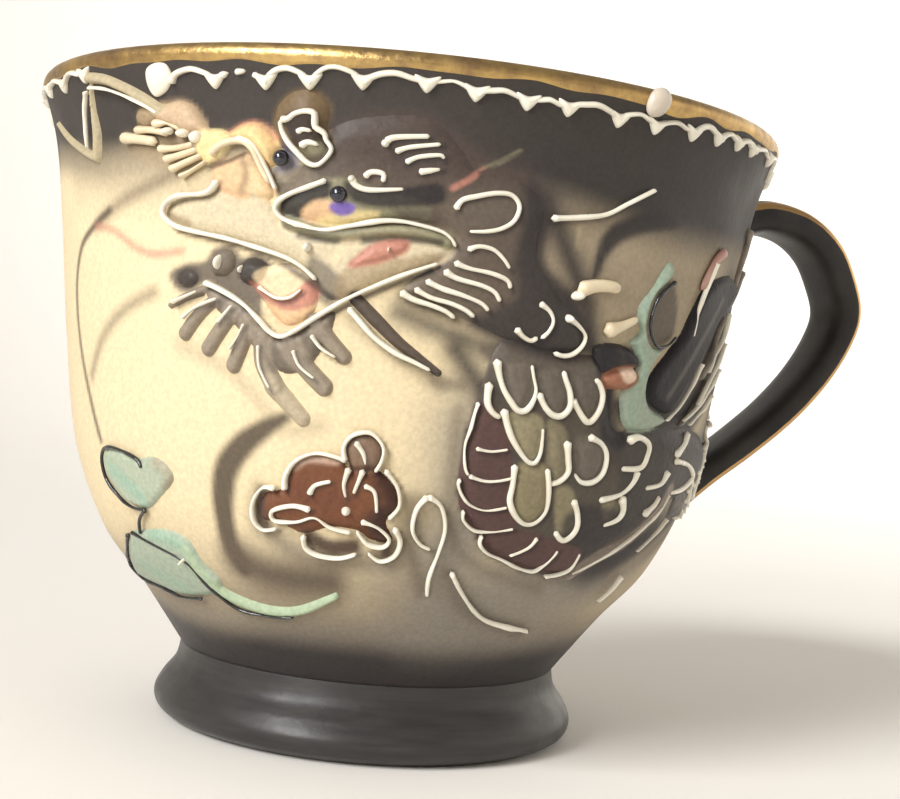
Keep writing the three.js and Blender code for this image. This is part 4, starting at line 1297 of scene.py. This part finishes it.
def make_border():
    """Scallops of white slip under the lip, each an arch between two cusps, with a hand's unevenness.

    The cusps are read off the photograph, and go on round the back at the same pitch."""
    heap = Heap()
    random = np.random.default_rng(11)
    cusps = thrown(BORDER_CUSPS)
    turn = np.degrees(np.unwrap(np.arctan2(cusps[:, 1], cusps[:, 0])))
    left = thrown(BORDER_LEFT)
    left_turn = np.degrees(np.unwrap(np.arctan2(left[:, 1], left[:, 0])))
    while left_turn[-1] > turn[0]:
        left_turn -= 360
    hidden = left_turn[0] + 360 - turn[-1]
    count = round(hidden / BORDER_PITCH)
    steps = turn[-1] + hidden * (np.arange(count + 1) / count)
    steps[1:-1] += random.uniform(-0.12, 0.12, count - 1) * BORDER_PITCH
    heights = np.full(count + 1, HEIGHT - 3.2) + random.uniform(-0.2, 0.2, count + 1)
    heights[0], heights[-1] = cusps[-1, 2], left[0, 2]
    for angles, lows in ((left_turn, left[:, 2]), (turn, cusps[:, 2]), (steps, heights)):
        for k in range(len(angles) - 1):
            a, b, low, next_low = angles[k], angles[k + 1], lows[k], lows[k + 1]
            rise = random.uniform(0.95, 1.2) if angles is turn and k < 4 else random.uniform(0.55, 0.8)
            high = max(low, next_low) + rise
            arch = [(a, low), (a + 0.12 * (b - a), low + 0.65 * rise), (a + 0.3 * (b - a), high - 0.1),
                    (a + 0.52 * (b - a), high), (a + 0.75 * (b - a), high - 0.22),
                    (a + 0.9 * (b - a), next_low + 0.5 * rise), (b, next_low)]
            if angles is turn and k == 1:
                for dash in BORDER_DASHES:
                    trail(heap, smooth_line(thrown(dash)), 0.42, 0.35)
            else:
                trail(heap, smooth_line(wrapped(arch)), random.uniform(0.42, 0.54), 0.42, seed=k)
            mound(heap, wrapped([(b - 1.7, next_low + 0.74), (b, next_low + 0.58), (b + 1.7, next_low + 0.74),
                                 (b + 0.4, next_low - 0.3), (b - 0.4, next_low - 0.3)]), 0.45)
    mound(heap, thrown(BORDER_START), 0.5)
    write_heap("scallop_trails", heap, WHITE, ["scallop_border"])
    bead = Heap()
    blob(bead, thrown([BORDER_BEAD])[0], 1.0, 0.7, 0.1, 1.2, 55)
    write_heap("border_drop", bead, SHELL, ["border_bead"])


# The side that the photograph doesn't show

BODY_LINE = [(-44, 22.5), (-34, 23.5), (-20, 26), (-5, 30), (12, 33), (35, 33), (62, 34.5), (90, 29),
             (116, 22), (134, 22), (146, 28), (155, 35), (160, 40)]
BODY_WIDTHS = [2.0, 5.4, 7.2, 8.2, 8.8, 9.0, 9.0, 8.5, 7.5, 6.5, 4.6, 2.4, 0.8]


def make_back():
    """The dragon's coiling body and tail, with rows of scales, belly plates, two claws and clouds."""
    line = evenly(smooth_line(wrapped(BODY_LINE), 10), 0.5)
    share = np.linspace(0, 1, len(line))
    width = np.interp(share, np.linspace(0, 1, len(BODY_WIDTHS)), BODY_WIDTHS)
    tangent = unit(np.gradient(line, axis=0))
    side = np.cross(wall_normal(line), tangent)
    grey, white, green, black, cream = (Heap() for _ in range(5))
    m = 24
    across = np.linspace(-1, 1, m)
    ring = np.concatenate([across, across[::-1]])
    lift = np.concatenate([0.45 * np.sqrt(np.clip(1 - across ** 4, 0, 1)), np.full(m, -0.15)])
    fade = np.sqrt(np.clip(np.minimum(share, 1 - share) / 0.02, 0.02, 1))
    points = line[:, None] + side[:, None] * (ring[None] * (width / 2)[:, None])[..., None]
    out = lift[None] * fade[:, None]
    rings = settle(points.reshape(-1, 3), out.reshape(-1)).reshape(len(line), 2 * m, 3)
    grey.tube(rings)
    # Rows of scales across the back, and a belly plate's edge beside each
    spacing = 5
    for k in range(6, len(line) - 8, spacing):
        rows = 3 if width[k] > 6 else 2
        for row in range(rows):
            offset = (0.42 - row * 0.32 + (0.12 if (k // spacing) % 2 else 0)) * width[k]
            size = 0.14 * width[k]
            centre = line[k] + side[k] * offset
            back = tangent[k] * size
            arc = [centre - side[k] * size - back, centre - side[k] * size * 0.8 + back * 0.5,
                   centre + back, centre + side[k] * size * 0.8 + back * 0.5, centre + side[k] * size - back]
            trail(white, smooth_line(np.array(arc)), 0.38, 0.38, 0.38, seed=k + row)
        low = line[k] - side[k] * 0.5 * width[k]
        high = line[k] - side[k] * 0.22 * width[k]
        bow = (low + high) / 2 + tangent[k] * 0.4
        trail(white, smooth_line(np.array([low, bow, high])), 0.26, 0.28, 0.36, seed=k)
    belly = [line[k] - side[k] * 0.47 * width[k] for k in range(4, len(line) - 10, 3)]
    trail(white, smooth_line(np.array(belly), 4), 0.3, 0.34, 0.15)
    # Two claws of three toes, one leaning each way
    for (a, z), lean in (((48, 30), -1), ((104, 22), 1)):
        for k in range(3):
            toe = [(a, z), (a + lean * (3 + k), z - 3 - 0.6 * k),
                   (a + lean * (6 + 2.5 * k), z - 4.2 - 1.6 * k)]
            trail(grey, smooth_line(wrapped(toe)), 1.3, 0.5)
            tip = [toe[-1], (toe[-1][0] + lean * 2.6, toe[-1][1] - 0.9)]
            trail(cream, smooth_line(wrapped(tip)), 0.6, 0.5, 0.1, taper=2)
            trail(white, smooth_line(wrapped(toe)), 0.3, 0.3, 0.4)
    clouds = [((86, 40), 1.0), ((142, 14), 1.0), ((30, 18), 0.8), ((120, 45), 0.8)]
    for (a, z), size in clouds:
        leaf = [(a - 7, z), (a - 4, z + 2.6), (a, z + 1.6), (a + 4, z + 2.4), (a + 6, z), (a + 2, z - 1.8),
                (a - 3, z - 1.6)]
        leaf = [(a + (x - a) * size, z + (y - z) * size) for x, y in leaf]
        mound(green, wrapped(leaf), 0.35)
        tail = [(a + 5 * size, z), (a + 10 * size, z - 2 * size), (a + 16 * size, z - 1.4 * size),
                (a + 20 * size, z + 0.4)]
        trail(green, smooth_line(wrapped(tail)), 0.85, 0.4)
        edge = [(a + (x - a) * 1.02, z + (y - z) * 1.02)
                for x, y in (leaf[5], leaf[6], leaf[0], leaf[1], leaf[2])]
        trail(black, smooth_line(wrapped(edge)), 0.34, 0.2, 0.22)
        under = [(x, y - 0.45) for x, y in tail]
        trail(black, smooth_line(wrapped(under)), 0.34, 0.2, 0.12)
    # The tail's plume
    for k in range(7):
        a = 144 + 2.0 * k
        plume = [(a, 37 + 0.3 * k), (a + 2, 40.5 + 0.2 * k), (a + 3 + 0.6 * k, 43.5)]
        trail(grey, smooth_line(wrapped(plume)), 0.9, 0.45, taper=2)
        trail(white, smooth_line(wrapped(plume)), 0.26, 0.3, 0.36)
    write_heap("dragon_body_slip", grey, GREY, ["dragon_body_relief"])
    write_heap("dragon_body_trails", white, WHITE, ["dragon_tail_relief"])
    write_heap("dragon_body_claws", cream, CREAM)
    write_heap("back_clouds", green, GREEN)
    write_heap("back_cloud_lines", black, BLACK)


# Studio

def lamp_at(name, kind, side, forward, high, power, size):
    """A lamp that aims at the cup, placed in mm to the picture's right, away from the camera, and up."""
    light = bpy.data.lights.new(name, kind)
    light.energy = power
    if kind == "SUN":
        light.angle = size
    else:
        light.size = size
    lamp = bpy.data.objects.new(name, light)
    level_right = np.array([RIGHT[0], RIGHT[1], 0]) / math.hypot(RIGHT[0], RIGHT[1])
    level_forward = np.array([FORWARD[0], FORWARD[1], 0])
    lamp.location = Vector((level_right * side + level_forward * forward + [AXIS_X, 0, high]) * MM)
    aim = Vector((AXIS_X * MM, 0, 0.028)) - lamp.location
    lamp.rotation_mode = "QUATERNION"
    lamp.rotation_quaternion = aim.to_track_quat("-Z", "Y")
    bpy.context.scene.collection.objects.link(lamp)


def make_stage():
    """A pale floor that sweeps up into a wall, a soft sun from the left, a strip for gloss and a room."""
    reach, bend, wall = 330.0, 320, 420.0
    turn = np.linspace(0, math.pi / 2, 24)
    sweep = np.stack([reach + bend * np.sin(turn), bend - bend * np.cos(turn)], axis=1)
    profile = np.vstack([[0.02, 0], [reach / 2, 0], sweep, [reach + bend, wall]])
    points, quads = turned(profile, 96)
    mesh = bpy.data.meshes.new("floor")
    mesh.from_pydata((points * MM).tolist(), [], quads[:, ::-1].tolist())
    mesh.shade_smooth()
    floor = bpy.data.objects.new("floor", mesh)
    bpy.context.scene.collection.objects.link(floor)
    paper = Finish("paper", Roughness=0.9)
    paper.set(Base_Color=paper.mix(paper.noise(6, 2), (0.96, 0.92, 0.86), (0.98, 0.95, 0.9)))
    mesh.materials.append(paper.material)
    lamp_at("key", "SUN", -260, -250, 260, 2.95, math.radians(22))
    lamp_at("gloss", "AREA", -150, -230, 130, 0.5, 0.09)
    world = bpy.data.worlds.new("room")
    world.use_nodes = True
    world.node_tree.nodes["Background"].inputs[0].default_value = (1.0, 0.97, 0.93, 1)
    world.node_tree.nodes["Background"].inputs[1].default_value = 0.36
    bpy.context.scene.world = world
    bpy.context.scene.view_settings.view_transform = "Standard"


make_camera()
make_bowl()
make_foot()
make_gilt_rim()
make_handle()
make_dragon()
make_border()
make_back()
make_stage()
